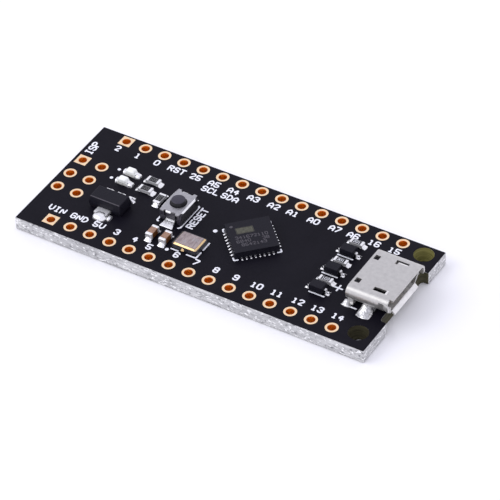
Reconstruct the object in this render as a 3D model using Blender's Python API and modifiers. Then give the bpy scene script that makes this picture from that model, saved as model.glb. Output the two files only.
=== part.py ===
"""Microcontroller development board with every component as its own solid.

Metres, +Z up.  The origin is the middle of the whole object's footprint, on the board's underside.
+X runs towards the USB receptacle.  Components are placed on the board's grid: X from the first pin
of the two pin rows, Y from the line midway between the rows, Z from the board's top face.
"""

import math

import bmesh
import bpy
from mathutils import Matrix, Vector

MM = 0.001

# Board
BOARD_LENGTH = 43.94 * MM
BOARD_WIDTH = 17.78 * MM
BOARD_THICKNESS = 1.6 * MM
USB_OVERHANG = 0.31 * MM
PIN_PITCH = 2.54 * MM
PINS_PER_ROW = 15
ROW_SPACING = 15.24 * MM
PIN_HOLE_DIAMETER = 1.0 * MM
PIN_HOLE_SIDES = 16
FIRST_PIN_INSET = 3.65 * MM
ROW_LINE_Y = 0.315 * MM
HEADER_COLUMNS = (-1, 0)
HEADER_ROWS = (1, 0, -1)
MOUNT_HOLE_DIAMETER = 2.3 * MM
MOUNT_HOLE_SIDES = 32
MOUNT_HOLES = ((38.4, 7.15), (38.4, -6.95))
NOTCH_START_X = 39.45
NOTCH_SPAN_Y = (-4.25, 4.75)
NOTCH_CORNER = 0.4

# Grid datum in world coordinates
BOARD_LEFT = -(BOARD_LENGTH + USB_OVERHANG) / 2
DATUM = Vector((BOARD_LEFT + FIRST_PIN_INSET, ROW_LINE_Y, BOARD_THICKNESS))

# Clearance that separates two solids that touch on the real board
GAP = 0.02

# How far a cutter reaches past the piece it cuts
BEYOND = 0.5

# USB micro-B receptacle, grid millimetres
USB_Y = -0.15
USB_REAR_X = 35.1
USB_FRONT_X = 40.5
USB_TOP_Z = 2.5
USB_HALF_WIDTH = 3.78
USB_BOTTOM_HALF_WIDTH = 2.65
USB_WAIST_Z = 1.36
USB_SHOULDER = 0.8
USB_BOTTOM_CORNER = 0.3
USB_WAIST_CORNER = 0.4
USB_WALL = 0.25
USB_SHEET = 0.24
USB_RELIEF_X = 40.0
USB_CORNER_Y = (-4.5, -3.1)
USB_CORNER_Z = (1.9, 3.0)
USB_SKIRT_Y = (2.45, 4.5)
USB_SKIRT_Z = (-0.5, 1.0)
USB_FLAP_Y = -3.65
USB_FLAP_FLARE = 0.4
USB_FLAP_Z = (1.6, 2.15)
USB_FLAP_ROOT = 0.7
USB_FLAP_BEND = 0.25
USB_FLAP_TIP = 0.54
USB_LIP_BEND_X = 39.9
USB_LIP_DROP = 0.35
USB_LIP_WIDTH = 5.0
USB_LIP_CLEARANCE = 0.1
USB_REAR_SLOT_X = (35.36, 35.98)
USB_REAR_SLOT_Y = (1.7, 2.4)
USB_WINDOW_X = (37.75, 39.25)
USB_NEAR_WINDOW_Y = (-2.6, -2.05)
USB_FAR_WINDOW_Y = (2.1, 2.5, 2.75)
USB_FAR_WINDOW_ARM = 0.3
USB_TAIL_DOOR_X = 36.6
USB_TAIL_DOOR_HALF_WIDTH = 1.8
USB_TAIL_DOOR_TOP = 0.6
USB_ANCHOR_X = (36.9, 38.2)
USB_ANCHOR_Y = 4.1
USB_FOOT_X = (35.1, 35.8)
USB_FOOT_Y = 3.5
USB_FOOT_HEIGHT = 0.3
USB_REAR_FLAP_LOW = 0.9
USB_REAR_FLAP_WIDTH = 3.0
USB_CONTACTS = 5
USB_CONTACT_PITCH = 0.65
USB_CONTACT_THICKNESS = 0.12
USB_CONTACT_WIDTH = 0.26
USB_CONTACT_X = (34.75, 36.2, 39.3)
USB_CHANNEL_WIDTH = 0.38
USB_CHANNEL_TOP = 1.2
USB_TONGUE_HALF_WIDTH = 1.85
USB_TONGUE_Z = (1.3, 1.9)
USB_TONGUE_TIP_X = 39.5
USB_BLOCK_X = (35.42, 37.0)

# Reset button
SWITCH_X = 11.75
SWITCH_Y = 0.08
SWITCH_LENGTH_X = 2.86
SWITCH_BASE_Y = 3.4
SWITCH_BASE_TOP = 1.4
SWITCH_PLATE = 0.16
SWITCH_CLIP = 0.14
SWITCH_CLIP_WIDTH = 0.7
SWITCH_CLIP_LOW = 0.75
SWITCH_EAR_X = 1.21
SWITCH_EAR_WIDTH = 0.42
SWITCH_EAR_REACH = 0.27
SWITCH_BULGE_Y = 1.2
SWITCH_TERMINAL_THICKNESS = 0.12
SWITCH_TERMINAL_WIDTH = 1.4
SWITCH_TERMINAL_TOP = 0.55
SWITCH_TERMINAL_REACH = 0.75
SWITCH_WELL_RADIUS = 1.2
SWITCH_WELL_FLOOR = 0.5
PLUNGER_RADIUS = 0.9
PLUNGER_FLANGE_RADIUS = 1.12
PLUNGER_TOP = 2.05
PLUNGER_FLANGE_Z = (1.02, 1.36)
PLUNGER_CHAMFER = 0.12
PLUNGER_HOLE_RADIUS = 0.98
DOME_RADIUS = 1.12
DOME_THICKNESS = 0.06

# Voltage regulator
REGULATOR_X = 4.4
REGULATOR_Y = -2.57
REGULATOR_SIZE = (4.3, 2.3, 1.5)
REGULATOR_BEVEL = 0.12
REGULATOR_LEAD_PITCH = 1.5
REGULATOR_LEAD_THICKNESS = 0.38
REGULATOR_LEAD_WIDTH = 0.46
REGULATOR_LEAD_Y = (0.36, 2.1)
REGULATOR_TAB_HALF_WIDTH = 0.8
REGULATOR_TAB_Y = (-2.0, 0.64)
REGULATOR_POCKET_MARGIN = 0.05

# Main chip
MCU_X = 21.07
MCU_Y = 0.1
MCU_SIDE = 5.0
MCU_HEIGHT = 0.88
MCU_DIMPLE_RADIUS = 0.22
MCU_DIMPLE_DEPTH = 0.06
MCU_DIMPLE_INSET = 0.62

# Crystal
CRYSTAL_X = 15.55
CRYSTAL_Y = -3.8
CRYSTAL_SIZE = (3.2, 2.5)
CRYSTAL_BASE_HEIGHT = 0.5
CRYSTAL_CORNER_RADIUS = 0.18
CRYSTAL_WELL = (2.3, 1.6)
CRYSTAL_WELL_FLOOR = 0.2
CRYSTAL_RING_INSET = 0.14
CRYSTAL_RING_HEIGHT = 0.08
CRYSTAL_LID_INSET = 0.22
CRYSTAL_LID_THICKNESS = 0.07
CRYSTAL_BLANK = (1.7, 1.2)
CRYSTAL_BLANK_Z = (0.3, 0.35)

# Small chips: length, width and height, and the metal of their ends
RESISTOR_SIZE = (1.6, 0.8, 0.46)
RESISTOR_PLATE = 0.05
RESISTOR_WRAP = 0.3
CAPACITOR_SIZE = (1.64, 0.88, 0.88)
CAPACITOR_CAP = 0.36
CAPACITOR_CAP_WALL = 0.05
DIODE_SIZE = (1.7, 1.25, 0.85)
DIODE_TOP = 0.95
DIODE_BEVEL = 0.06
DIODE_LEAD = 0.12
DIODE_LEAD_WIDTH = 0.32
DIODE_LEAD_EXIT = 0.5
DIODE_FOOT = 0.4
LED_SIZE = (1.6, 0.8, 0.26)
LED_LENS_SIZE = (1.1, 0.8, 0.54)
LED_LENS_TAPER = (0.8, 0.85)

# Two-terminal chips: name, x, y, heading in degrees
RESISTORS = (
    ("resistor_1", 6.55, 3.05, 0),
    ("resistor_2", 6.55, 1.42, 0),
    ("resistor_3", 8.8, 0.8, 90),
    ("resistor_4", 31.35, 5.0, 0),
    ("resistor_5", 31.3, 1.62, 0),
    ("resistor_6", 31.4, -1.73, 0),
)
CAPACITORS = (
    ("capacitor_1", 11.07, -4.45, 90),
    ("capacitor_2", 12.8, -4.5, 90),
)
DIODES = (
    ("diode_1", 31.3, 3.3, 0),
    ("diode_2", 31.3, 0.0, 0),
    ("diode_3", 31.35, -3.3, 0),
)
LEDS = (
    ("led_1", 3.62, 3.05, 0),
    ("led_2", 3.62, 1.42, 0),
)

# Finishes: base colour, roughness, metallic
FINISHES = {
    "solder_mask_black": ((0.016, 0.015, 0.022), 0.42, 0.0),
    "shell_steel": ((0.62, 0.61, 0.63), 0.30, 1.0),
    "black_plastic": ((0.012, 0.012, 0.014), 0.50, 0.0),
    "moulded_epoxy": ((0.022, 0.022, 0.026), 0.60, 0.0),
    "gold": ((0.83, 0.60, 0.30), 0.28, 1.0),
    "tin": ((0.78, 0.77, 0.78), 0.35, 1.0),
    "switch_steel": ((0.55, 0.54, 0.58), 0.38, 1.0),
    "plunger_plastic": ((0.060, 0.055, 0.085), 0.45, 0.0),
    "alumina": ((0.75, 0.74, 0.70), 0.60, 0.0),
    "capacitor_ceramic": ((0.42, 0.26, 0.17), 0.50, 0.0),
    "crystal_ceramic": ((0.10, 0.09, 0.09), 0.60, 0.0),
    "crystal_lid": ((0.50, 0.44, 0.45), 0.30, 1.0),
    "quartz": ((0.85, 0.85, 0.88), 0.10, 0.0),
    "led_substrate": ((0.80, 0.80, 0.74), 0.55, 0.0),
    "led_lens": ((0.90, 0.92, 0.90), 0.20, 0.0),
}


def clear_scene():
    for item in list(bpy.data.objects):
        bpy.data.objects.remove(item, do_unlink=True)


def make_collection(name):
    collection = bpy.data.collections.get(name) or bpy.data.collections.new(name)
    if name not in bpy.context.scene.collection.children:
        bpy.context.scene.collection.children.link(collection)
    return collection


def material(name):
    """One Principled material for each finish, shared by the pieces that have it."""
    found = bpy.data.materials.get(name)
    if found:
        return found
    colour, roughness, metallic = FINISHES[name]
    made = bpy.data.materials.new(name)
    made.use_nodes = True
    made.diffuse_color = (*colour, 1.0)
    shader = made.node_tree.nodes["Principled BSDF"]
    shader.inputs["Base Color"].default_value = (*colour, 1.0)
    shader.inputs["Roughness"].default_value = roughness
    shader.inputs["Metallic"].default_value = metallic
    return made


def on_board(x, y, z=0.0):
    """World position of a point given in grid millimetres."""
    return DATUM + Vector((x, y, z)) * MM


# Meshes, all in millimetres and scaled when they become objects


def box_mesh(size, centre=(0, 0, 0), bevel=0.0):
    bm = bmesh.new()
    bmesh.ops.create_cube(bm, size=1.0, matrix=Matrix.Translation(centre) @ Matrix.Diagonal((*size, 1.0)))
    if bevel:
        bmesh.ops.bevel(bm, geom=bm.edges[:], offset=bevel, segments=1, affect="EDGES", profile=0.5)
    return bm


def span_box(x_span, y_span, z_span):
    """Box from its lowest and highest X, Y and Z."""
    spans = (x_span, y_span, z_span)
    return box_mesh([high - low for low, high in spans], [(high + low) / 2 for low, high in spans])


def side_span(side, inner, outer):
    """Low and high end of a stretch that lies on the negative or the positive side."""
    return tuple(sorted((side * inner, side * outer)))


def cylinder_mesh(radius, z_span, centre=(0, 0), sides=32):
    bm = bmesh.new()
    middle = (centre[0], centre[1], (z_span[0] + z_span[1]) / 2)
    bmesh.ops.create_cone(bm, cap_ends=True, segments=sides, radius1=radius, radius2=radius,
                          depth=z_span[1] - z_span[0], matrix=Matrix.Translation(middle))
    return bm


def curve_mesh(outlines, thickness, fill):
    """Flat outlines, the inner ones as holes, extruded both ways from their plane, as a welded mesh."""
    curve = bpy.data.curves.new("outline", "CURVE")
    curve.dimensions = "2D"
    curve.fill_mode = fill
    curve.extrude = thickness / 2
    for points in outlines:
        spline = curve.splines.new("POLY")
        spline.points.add(len(points) - 1)
        for point, (x, y) in zip(spline.points, points):
            point.co = (x, y, 0.0, 1.0)
        spline.use_cyclic_u = True
    holder = bpy.data.objects.new("outline", curve)
    bpy.context.scene.collection.objects.link(holder)
    depsgraph = bpy.context.evaluated_depsgraph_get()
    mesh = bpy.data.meshes.new_from_object(holder.evaluated_get(depsgraph))
    bm = bmesh.new()
    bm.from_mesh(mesh)
    bmesh.ops.remove_doubles(bm, verts=bm.verts[:], dist=0.001)
    bmesh.ops.recalc_face_normals(bm, faces=bm.faces[:])
    bpy.data.objects.remove(holder)
    bpy.data.curves.remove(curve)
    bpy.data.meshes.remove(mesh)
    return bm


def prism_mesh(outline, thickness, *holes):
    return curve_mesh((outline, *holes), thickness, "BOTH")


def circle(radius, sides=32):
    angles = [math.tau * index / sides for index in range(sides)]
    return [(radius * math.cos(angle), radius * math.sin(angle)) for angle in angles]


def rounded_outline(corners, steps=4):
    """Closed outline from (x, y, radius) corners, each round corner as an arc."""
    points = []
    count = len(corners)
    for index, (x, y, radius) in enumerate(corners):
        here = Vector((x, y))
        if radius == 0:
            points.append((x, y))
            continue
        back = (Vector(corners[index - 1][:2]) - here).normalized()
        ahead = (Vector(corners[(index + 1) % count][:2]) - here).normalized()
        half_angle = back.angle(ahead) / 2
        centre = here + (back + ahead).normalized() * radius / math.sin(half_angle)
        start = here + back * radius / math.tan(half_angle) - centre
        end = here + ahead * radius / math.tan(half_angle) - centre
        sweep = start.angle_signed(end)
        for step in range(steps + 1):
            turned = start.copy()
            turned.rotate(Matrix.Rotation(-sweep * step / steps, 2))
            points.append(tuple(centre + turned))
    return points


def strip_outline(path, thickness):
    """Outline of a sheet-metal strip seen edge on, with mitred bends."""
    left, right = [], []
    points = [Vector(point) for point in path]
    for index, point in enumerate(points):
        before = (point - points[index - 1]).normalized() if index else None
        after = (points[index + 1] - point).normalized() if index < len(points) - 1 else None
        before = before or after
        after = after or before
        mitre = (before + after).normalized()
        normal = Vector((-mitre.y, mitre.x))
        reach = thickness / 2 / mitre.dot(after)
        left.append(tuple(point + normal * reach))
        right.append(tuple(point - normal * reach))
    return left + right[::-1]


def strip_mesh(path, thickness, width):
    """Bent strip: the path runs in X and Z, the width lies along Y."""
    bm = prism_mesh(strip_outline(path, thickness), width)
    bmesh.ops.rotate(bm, verts=bm.verts[:], cent=(0, 0, 0), matrix=Matrix.Rotation(math.radians(90), 3, "X"))
    return bm


# Objects


def place(name, bm, collection, at=(0, 0, 0), heading=0.0, smooth=False):
    """Turns a millimetre bmesh into an object standing at a grid position."""
    bmesh.ops.scale(bm, vec=(MM, MM, MM), verts=bm.verts[:])
    mesh = bpy.data.meshes.new(name)
    bm.to_mesh(mesh)
    bm.free()
    if smooth:
        mesh.shade_smooth()
        mesh.set_sharp_from_angle(angle=math.radians(35))
    item = bpy.data.objects.new(name, mesh)
    item.location = on_board(*at)
    item.rotation_euler = (0.0, 0.0, math.radians(heading))
    collection.objects.link(item)
    return item


def part(name, bm, finish, at=(0, 0, 0), heading=0.0, smooth=False):
    item = place(name, bm, PARTS, at, heading, smooth)
    item.data.materials.append(material(finish))
    return item


def shape_with(item, operation, bm, at=(0, 0, 0), heading=0.0):
    """Cuts, or joins on, a helper solid with an exact Boolean."""
    label = f"{item.name}_{operation.lower()}_{len(item.modifiers)}"
    helper = place(label, bm, CUTTERS, at, heading)
    helper.hide_render = True
    helper.display_type = "WIRE"
    modifier = item.modifiers.new(label, "BOOLEAN")
    modifier.operation = operation
    modifier.solver = "EXACT"
    modifier.object = helper


def cut(item, bm, at=(0, 0, 0), heading=0.0):
    shape_with(item, "DIFFERENCE", bm, at, heading)


def join(item, bm, at=(0, 0, 0), heading=0.0):
    shape_with(item, "UNION", bm, at, heading)


def merged(*meshes):
    """One bmesh from several separate ones, for cutting many places at once."""
    whole = bmesh.new()
    for bm in meshes:
        mesh = bpy.data.meshes.new("piece")
        bm.to_mesh(mesh)
        bm.free()
        whole.from_mesh(mesh)
        bpy.data.meshes.remove(mesh)
    return whole


def turned(name, profile, finish, at, sides):
    """Round piece from an outer profile in (radius, height), top to bottom, by a Screw modifier."""
    bm = bmesh.new()
    verts = [bm.verts.new((radius, 0.0, height)) for radius, height in profile]
    for first, second in zip(verts, verts[1:]):
        bm.edges.new((first, second))
    item = part(name, bm, finish, at)
    screw = item.modifiers.new("turn", "SCREW")
    screw.axis = "Z"
    screw.angle = math.tau
    screw.steps = sides
    screw.render_steps = sides
    screw.use_merge_vertices = True
    screw.merge_threshold = 0.001 * MM
    screw.use_smooth_shade = False
    return item


# Components


def pin_positions():
    """Every plated hole on the grid: two pin rows and the 2 x 3 programming header."""
    pitch = PIN_PITCH / MM
    half_rows = ROW_SPACING / MM / 2
    rows = [(pitch * index, side * half_rows) for side in (1, -1) for index in range(PINS_PER_ROW)]
    header = [(pitch * column, pitch * row) for column in HEADER_COLUMNS for row in HEADER_ROWS]
    return rows + header


def build_board():
    thickness = BOARD_THICKNESS / MM
    through = (-thickness - BEYOND, BEYOND)
    left = -FIRST_PIN_INSET / MM
    right = left + BOARD_LENGTH / MM
    middle_y = -ROW_LINE_Y / MM
    half_width = BOARD_WIDTH / MM / 2
    board = part("circuit_board", span_box((left, right), (middle_y - half_width, middle_y + half_width),
                                           (-thickness, 0.0)), "solder_mask_black")
    radius = PIN_HOLE_DIAMETER / MM / 2
    pins = [cylinder_mesh(radius, through, centre, PIN_HOLE_SIDES) for centre in pin_positions()]
    cut(board, merged(*pins))
    radius = MOUNT_HOLE_DIAMETER / MM / 2
    mounts = [cylinder_mesh(radius, through, centre, MOUNT_HOLE_SIDES) for centre in MOUNT_HOLES]
    cut(board, merged(*mounts))
    low, high = NOTCH_SPAN_Y
    notch = rounded_outline([(NOTCH_START_X, low, NOTCH_CORNER), (right + 1.0, low, 0.0),
                             (right + 1.0, high, 0.0), (NOTCH_START_X, high, NOTCH_CORNER)])
    cut(board, prism_mesh(notch, through[1] - through[0]), (0, 0, -thickness / 2))


def usb_profile(inset):
    """Receptacle outline in (Y, Z), moved inwards by a wall's worth: wide top, tapering to the bottom."""
    side = USB_HALF_WIDTH - inset
    bottom = USB_BOTTOM_HALF_WIDTH - inset * 0.7
    top = USB_TOP_Z - inset
    low = GAP + inset
    half = [(bottom, low, USB_BOTTOM_CORNER), (side, USB_WAIST_Z, USB_WAIST_CORNER),
            (side, top, USB_SHOULDER - inset)]
    mirrored = [(-y, z, radius) for y, z, radius in reversed(half)]
    return rounded_outline(half + mirrored)


def usb_tube(length, inset, fill):
    """Receptacle outline drawn out along X, centred on its own length."""
    bm = curve_mesh([usb_profile(inset)], length, fill)
    turn = Matrix.Rotation(math.radians(90), 3, "Z") @ Matrix.Rotation(math.radians(90), 3, "X")
    bmesh.ops.rotate(bm, verts=bm.verts[:], cent=(0, 0, 0), matrix=turn)
    return bm


def build_usb_shell():
    length = USB_FRONT_X - USB_REAR_X
    middle = ((USB_FRONT_X + USB_REAR_X) / 2, USB_Y)
    at = (0, USB_Y, 0)
    tube = usb_tube(length, USB_WALL / 2, "NONE")
    shell = part("usb_shell", tube, "shell_steel", (*middle, 0), smooth=True)
    wall = shell.modifiers.new("wall", "SOLIDIFY")
    wall.thickness = USB_WALL * MM
    wall.offset = 0.0
    wall.use_even_offset = True

    roof = (USB_TOP_Z - USB_WALL - 0.15, USB_TOP_Z + BEYOND)
    beyond_front = USB_FRONT_X + BEYOND
    beyond_rear = USB_REAR_X - BEYOND
    for side in (1, -1):
        rear_slot = span_box(USB_REAR_SLOT_X, side_span(side, *USB_REAR_SLOT_Y), roof)
        skirt = span_box((USB_RELIEF_X, beyond_front), side_span(side, *USB_SKIRT_Y), USB_SKIRT_Z)
        cut(shell, merged(rear_slot, skirt), at)
        for x_span, reach in ((USB_ANCHOR_X, USB_ANCHOR_Y), (USB_FOOT_X, USB_FOOT_Y)):
            join(shell, span_box(x_span, side_span(side, USB_SKIRT_Y[0], reach), (GAP, USB_FOOT_HEIGHT)), at)

    cut(shell, span_box((USB_RELIEF_X, beyond_front), USB_CORNER_Y, USB_CORNER_Z), at)
    flap = [(USB_RELIEF_X - USB_FLAP_ROOT, USB_FLAP_Y), (USB_RELIEF_X - USB_FLAP_BEND, USB_FLAP_Y),
            (USB_RELIEF_X + USB_FLAP_TIP, USB_FLAP_Y - USB_FLAP_FLARE)]
    low, high = USB_FLAP_Z
    join(shell, prism_mesh(strip_outline(flap, USB_SHEET), high - low), (0, USB_Y, (low + high) / 2))

    half_lip = USB_LIP_WIDTH / 2 + USB_LIP_CLEARANCE
    ahead = (USB_LIP_BEND_X - USB_LIP_CLEARANCE / 2, beyond_front)
    cut(shell, span_box(ahead, (-half_lip, half_lip), (-BEYOND, BEYOND)), at)
    floor = GAP + USB_WALL / 2 + 0.01
    lip = [(USB_LIP_BEND_X - BEYOND, floor), (USB_LIP_BEND_X, floor),
           (USB_LIP_BEND_X + USB_LIP_DROP, floor - USB_LIP_DROP)]
    join(shell, strip_mesh(lip, USB_SHEET, USB_LIP_WIDTH), at)

    start, end = USB_WINDOW_X
    arm = start + USB_FAR_WINDOW_ARM
    inner, step, outer = USB_FAR_WINDOW_Y
    far_window = [(start, inner), (arm, inner), (arm, step), (end, step), (end, outer), (start, outer)]
    cut(shell, span_box(USB_WINDOW_X, USB_NEAR_WINDOW_Y, roof), at)
    cut(shell, prism_mesh(far_window, 2 * (USB_TOP_Z - roof[0])), (0, USB_Y, USB_TOP_Z))
    door = (-USB_TAIL_DOOR_HALF_WIDTH, USB_TAIL_DOOR_HALF_WIDTH)
    cut(shell, span_box((beyond_rear, USB_TAIL_DOOR_X), door, (-BEYOND, USB_TAIL_DOOR_TOP)), at)
    flap_x = USB_REAR_X + USB_WALL / 2
    flap_top = USB_TOP_Z - USB_WALL / 2
    rear = [(flap_x + USB_WALL, flap_top), (flap_x, flap_top), (flap_x, USB_REAR_FLAP_LOW)]
    join(shell, strip_mesh(rear, USB_SHEET, USB_REAR_FLAP_WIDTH), at)


def contact_y(index):
    return USB_Y + USB_CONTACT_PITCH * (index - (USB_CONTACTS - 1) / 2)


def build_usb_insulator():
    low, high = USB_BLOCK_X
    tube = usb_tube(high - low, USB_WALL + 0.04, "BOTH")
    block = part("usb_insulator", tube, "black_plastic", ((low + high) / 2, USB_Y, 0))
    half_tongue = USB_TONGUE_HALF_WIDTH
    tongue = span_box((high - 0.3, USB_TONGUE_TIP_X), (-half_tongue, half_tongue), USB_TONGUE_Z)
    join(block, tongue, (0, USB_Y, 0))
    channels = []
    for index in range(USB_CONTACTS):
        y_span = (contact_y(index) - USB_CHANNEL_WIDTH / 2, contact_y(index) + USB_CHANNEL_WIDTH / 2)
        channels.append(span_box((low - BEYOND, high + BEYOND), y_span, (-BEYOND, USB_CHANNEL_TOP)))
    cut(block, merged(*channels))


def build_usb_contacts():
    under_tongue = USB_TONGUE_Z[0] - GAP - USB_CONTACT_THICKNESS / 2 - 0.04
    tail = GAP + USB_CONTACT_THICKNESS / 2 + 0.04
    tail_x, bend_x, tip_x = USB_CONTACT_X
    path = [(tip_x, under_tongue), (bend_x, under_tongue), (bend_x, tail), (tail_x, tail)]
    for index in range(USB_CONTACTS):
        contact = strip_mesh(path, USB_CONTACT_THICKNESS, USB_CONTACT_WIDTH)
        part(f"usb_contact_{index + 1}", contact, "gold", (0, contact_y(index), 0))


def build_switch():
    at = (SWITCH_X, SWITCH_Y, 0)
    half_x = SWITCH_LENGTH_X / 2
    half_y = SWITCH_BASE_Y / 2
    block = span_box((-half_x, half_x), (-half_y, half_y), (GAP, SWITCH_BASE_TOP))
    base = part("switch_base", block, "black_plastic", at)
    cut(base, cylinder_mesh(SWITCH_WELL_RADIUS, (SWITCH_WELL_FLOOR, 3.0)), at)

    plate_low = SWITCH_BASE_TOP + GAP
    plate_middle = plate_low + SWITCH_PLATE / 2
    ear_x = SWITCH_EAR_X
    edge_y = half_y + 0.02
    ear_y = half_y + SWITCH_EAR_REACH
    notch_x = ear_x - SWITCH_EAR_WIDTH
    corner = [(ear_x, ear_y, 0.0), (notch_x, ear_y, 0.0), (notch_x, edge_y, 0.0)]
    bulge = SWITCH_BULGE_Y
    right_side = [(half_x, bulge, 0.0), (ear_x + 0.06, bulge + 0.18, 0.0), (ear_x, bulge + 0.3, 0.0)] + corner
    left_side = [(-x, y, radius) for x, y, radius in reversed(right_side)]
    upper = right_side + left_side
    lower = [(-x, -y, radius) for x, y, radius in upper]
    plate = prism_mesh(rounded_outline(upper + lower), SWITCH_PLATE, circle(PLUNGER_HOLE_RADIUS))
    cover = part("switch_cover", plate, "switch_steel", (SWITCH_X, SWITCH_Y, plate_middle))
    for side in (1, -1):
        bend_y = side * (half_y + SWITCH_CLIP)
        path = [(side * (half_y - SWITCH_CLIP), plate_middle), (bend_y, plate_middle),
                (bend_y, SWITCH_CLIP_LOW)]
        join(cover, strip_mesh(path, SWITCH_CLIP, SWITCH_CLIP_WIDTH), at, 90)

    low, high = PLUNGER_FLANGE_Z
    turned("switch_plunger", [(0.0, PLUNGER_TOP), (PLUNGER_RADIUS - PLUNGER_CHAMFER, PLUNGER_TOP),
                              (PLUNGER_RADIUS, PLUNGER_TOP - PLUNGER_CHAMFER), (PLUNGER_RADIUS, high),
                              (PLUNGER_FLANGE_RADIUS, high), (PLUNGER_FLANGE_RADIUS, low), (0.0, low)],
           "plunger_plastic", at, 32)

    rise = low - GAP - DOME_THICKNESS - (SWITCH_WELL_FLOOR + GAP)
    floor = SWITCH_WELL_FLOOR + GAP

    def dome_height(radius):
        return rise * (1 - (radius / DOME_RADIUS) ** 2)

    radii = [DOME_RADIUS * step / 5 for step in range(6)]
    top = [(radius, floor + dome_height(radius) + DOME_THICKNESS) for radius in radii]
    underside = [(radius, floor + dome_height(radius)) for radius in reversed(radii)]
    turned("switch_dome", top + underside, "shell_steel", at, 24)

    thickness = SWITCH_TERMINAL_THICKNESS
    foot = GAP + thickness / 2
    for name, side in (("switch_terminal_near", -1), ("switch_terminal_far", 1)):
        face = half_y + GAP
        bend_y = side * (face + thickness / 2)
        path = [(bend_y, SWITCH_TERMINAL_TOP), (bend_y, foot), (side * (face + SWITCH_TERMINAL_REACH), foot)]
        part(name, strip_mesh(path, thickness, SWITCH_TERMINAL_WIDTH), "tin", at, 90)


def build_regulator():
    at = (REGULATOR_X, REGULATOR_Y, 0)
    length, depth, height = REGULATOR_SIZE
    metal = (GAP, GAP + REGULATOR_LEAD_THICKNESS)
    block = span_box((-length / 2, length / 2), (-depth / 2, depth / 2), (GAP, height))
    body = part("regulator_body", block, "moulded_epoxy", at)
    taper = body.modifiers.new("edges", "BEVEL")
    taper.width = REGULATOR_BEVEL * MM
    taper.segments = 1
    taper.limit_method = "ANGLE"

    clear = REGULATOR_POCKET_MARGIN
    half_tab = REGULATOR_TAB_HALF_WIDTH
    half_lead = REGULATOR_LEAD_WIDTH / 2
    tab_start, tab_end = REGULATOR_TAB_Y
    lead_start, lead_end = REGULATOR_LEAD_Y
    pocket = (-BEYOND, metal[1] + GAP)
    cut(body, span_box((-half_tab - clear, half_tab + clear), (-depth, tab_end + clear), pocket), at)
    for centre in (-REGULATOR_LEAD_PITCH, 0.0, REGULATOR_LEAD_PITCH):
        slot = (centre - half_lead - clear, centre + half_lead + clear)
        cut(body, span_box(slot, (lead_start - clear, depth), pocket), at)
    half_plate = [(half_tab, tab_start), (half_tab, tab_end), (half_lead, tab_end), (half_lead, lead_end)]
    plate = half_plate + [(-x, y) for x, y in reversed(half_plate)]
    middle = (REGULATOR_X, REGULATOR_Y, sum(metal) / 2)
    part("regulator_tab", prism_mesh(plate, REGULATOR_LEAD_THICKNESS), "tin", middle)
    for name, side in (("regulator_lead_in", -1), ("regulator_lead_out", 1)):
        centre = side * REGULATOR_LEAD_PITCH
        lead = span_box((centre - half_lead, centre + half_lead), REGULATOR_LEAD_Y, metal)
        part(name, lead, "tin", at)


def build_mcu():
    at = (MCU_X, MCU_Y, 0)
    half = MCU_SIDE / 2
    block = span_box((-half, half), (-half, half), (GAP, MCU_HEIGHT))
    body = part("mcu_body", block, "moulded_epoxy", at, 45)
    centre = (-half + MCU_DIMPLE_INSET, half - MCU_DIMPLE_INSET)
    depth = (MCU_HEIGHT - MCU_DIMPLE_DEPTH, MCU_HEIGHT + BEYOND)
    cut(body, cylinder_mesh(MCU_DIMPLE_RADIUS, depth, centre, 20), at, 45)


def inset_box(size, inset, z_span):
    """Box about the Z axis, a margin smaller than a given footprint on every side."""
    half_x, half_y = size[0] / 2 - inset, size[1] / 2 - inset
    return span_box((-half_x, half_x), (-half_y, half_y), z_span)


def build_crystal():
    at = (CRYSTAL_X, CRYSTAL_Y, 0)
    half_x, half_y = CRYSTAL_SIZE[0] / 2, CRYSTAL_SIZE[1] / 2
    top = CRYSTAL_BASE_HEIGHT
    base = part("crystal_base", inset_box(CRYSTAL_SIZE, 0.0, (GAP, top)), "crystal_ceramic", at)
    cut(base, inset_box(CRYSTAL_WELL, 0.0, (CRYSTAL_WELL_FLOOR, top + BEYOND)), at)
    corners = [cylinder_mesh(CRYSTAL_CORNER_RADIUS, (-1.0, 1.0), (x * half_x, y * half_y), 12)
               for x in (1, -1) for y in (1, -1)]
    cut(base, merged(*corners), at)
    ring_span = (top + GAP, top + GAP + CRYSTAL_RING_HEIGHT)
    ring = part("crystal_seal_ring", inset_box(CRYSTAL_SIZE, CRYSTAL_RING_INSET, ring_span), "gold", at)
    cut(ring, inset_box(CRYSTAL_WELL, 0.0, (0.0, top + BEYOND)), at)
    lid_low = ring_span[1] + GAP
    lid = inset_box(CRYSTAL_SIZE, CRYSTAL_LID_INSET, (lid_low, lid_low + CRYSTAL_LID_THICKNESS))
    part("crystal_lid", lid, "crystal_lid", at)
    part("crystal_blank", inset_box(CRYSTAL_BLANK, 0.0, CRYSTAL_BLANK_Z), "quartz", at)


def chip_resistor(name, x, y, heading):
    """Alumina chip with a terminal folded over each end."""
    at = (x, y, 0)
    plate = RESISTOR_PLATE
    half, half_width, top = RESISTOR_SIZE[0] / 2, RESISTOR_SIZE[1] / 2, RESISTOR_SIZE[2]
    clear = plate + GAP
    chip = span_box((-half + clear, half - clear), (-half_width, half_width), (GAP + clear, top - clear))
    part(f"{name}_body", chip, "alumina", at, heading)
    for label, side in (("a", -1), ("b", 1)):
        end = side * (half - plate / 2)
        wrap = side * (half - RESISTOR_WRAP)
        low, high = GAP + plate / 2, top - plate / 2
        terminal = strip_mesh([(wrap, high), (end, high), (end, low), (wrap, low)], plate, 2 * half_width)
        part(f"{name}_terminal_{label}", terminal, "tin", at, heading)


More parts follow.
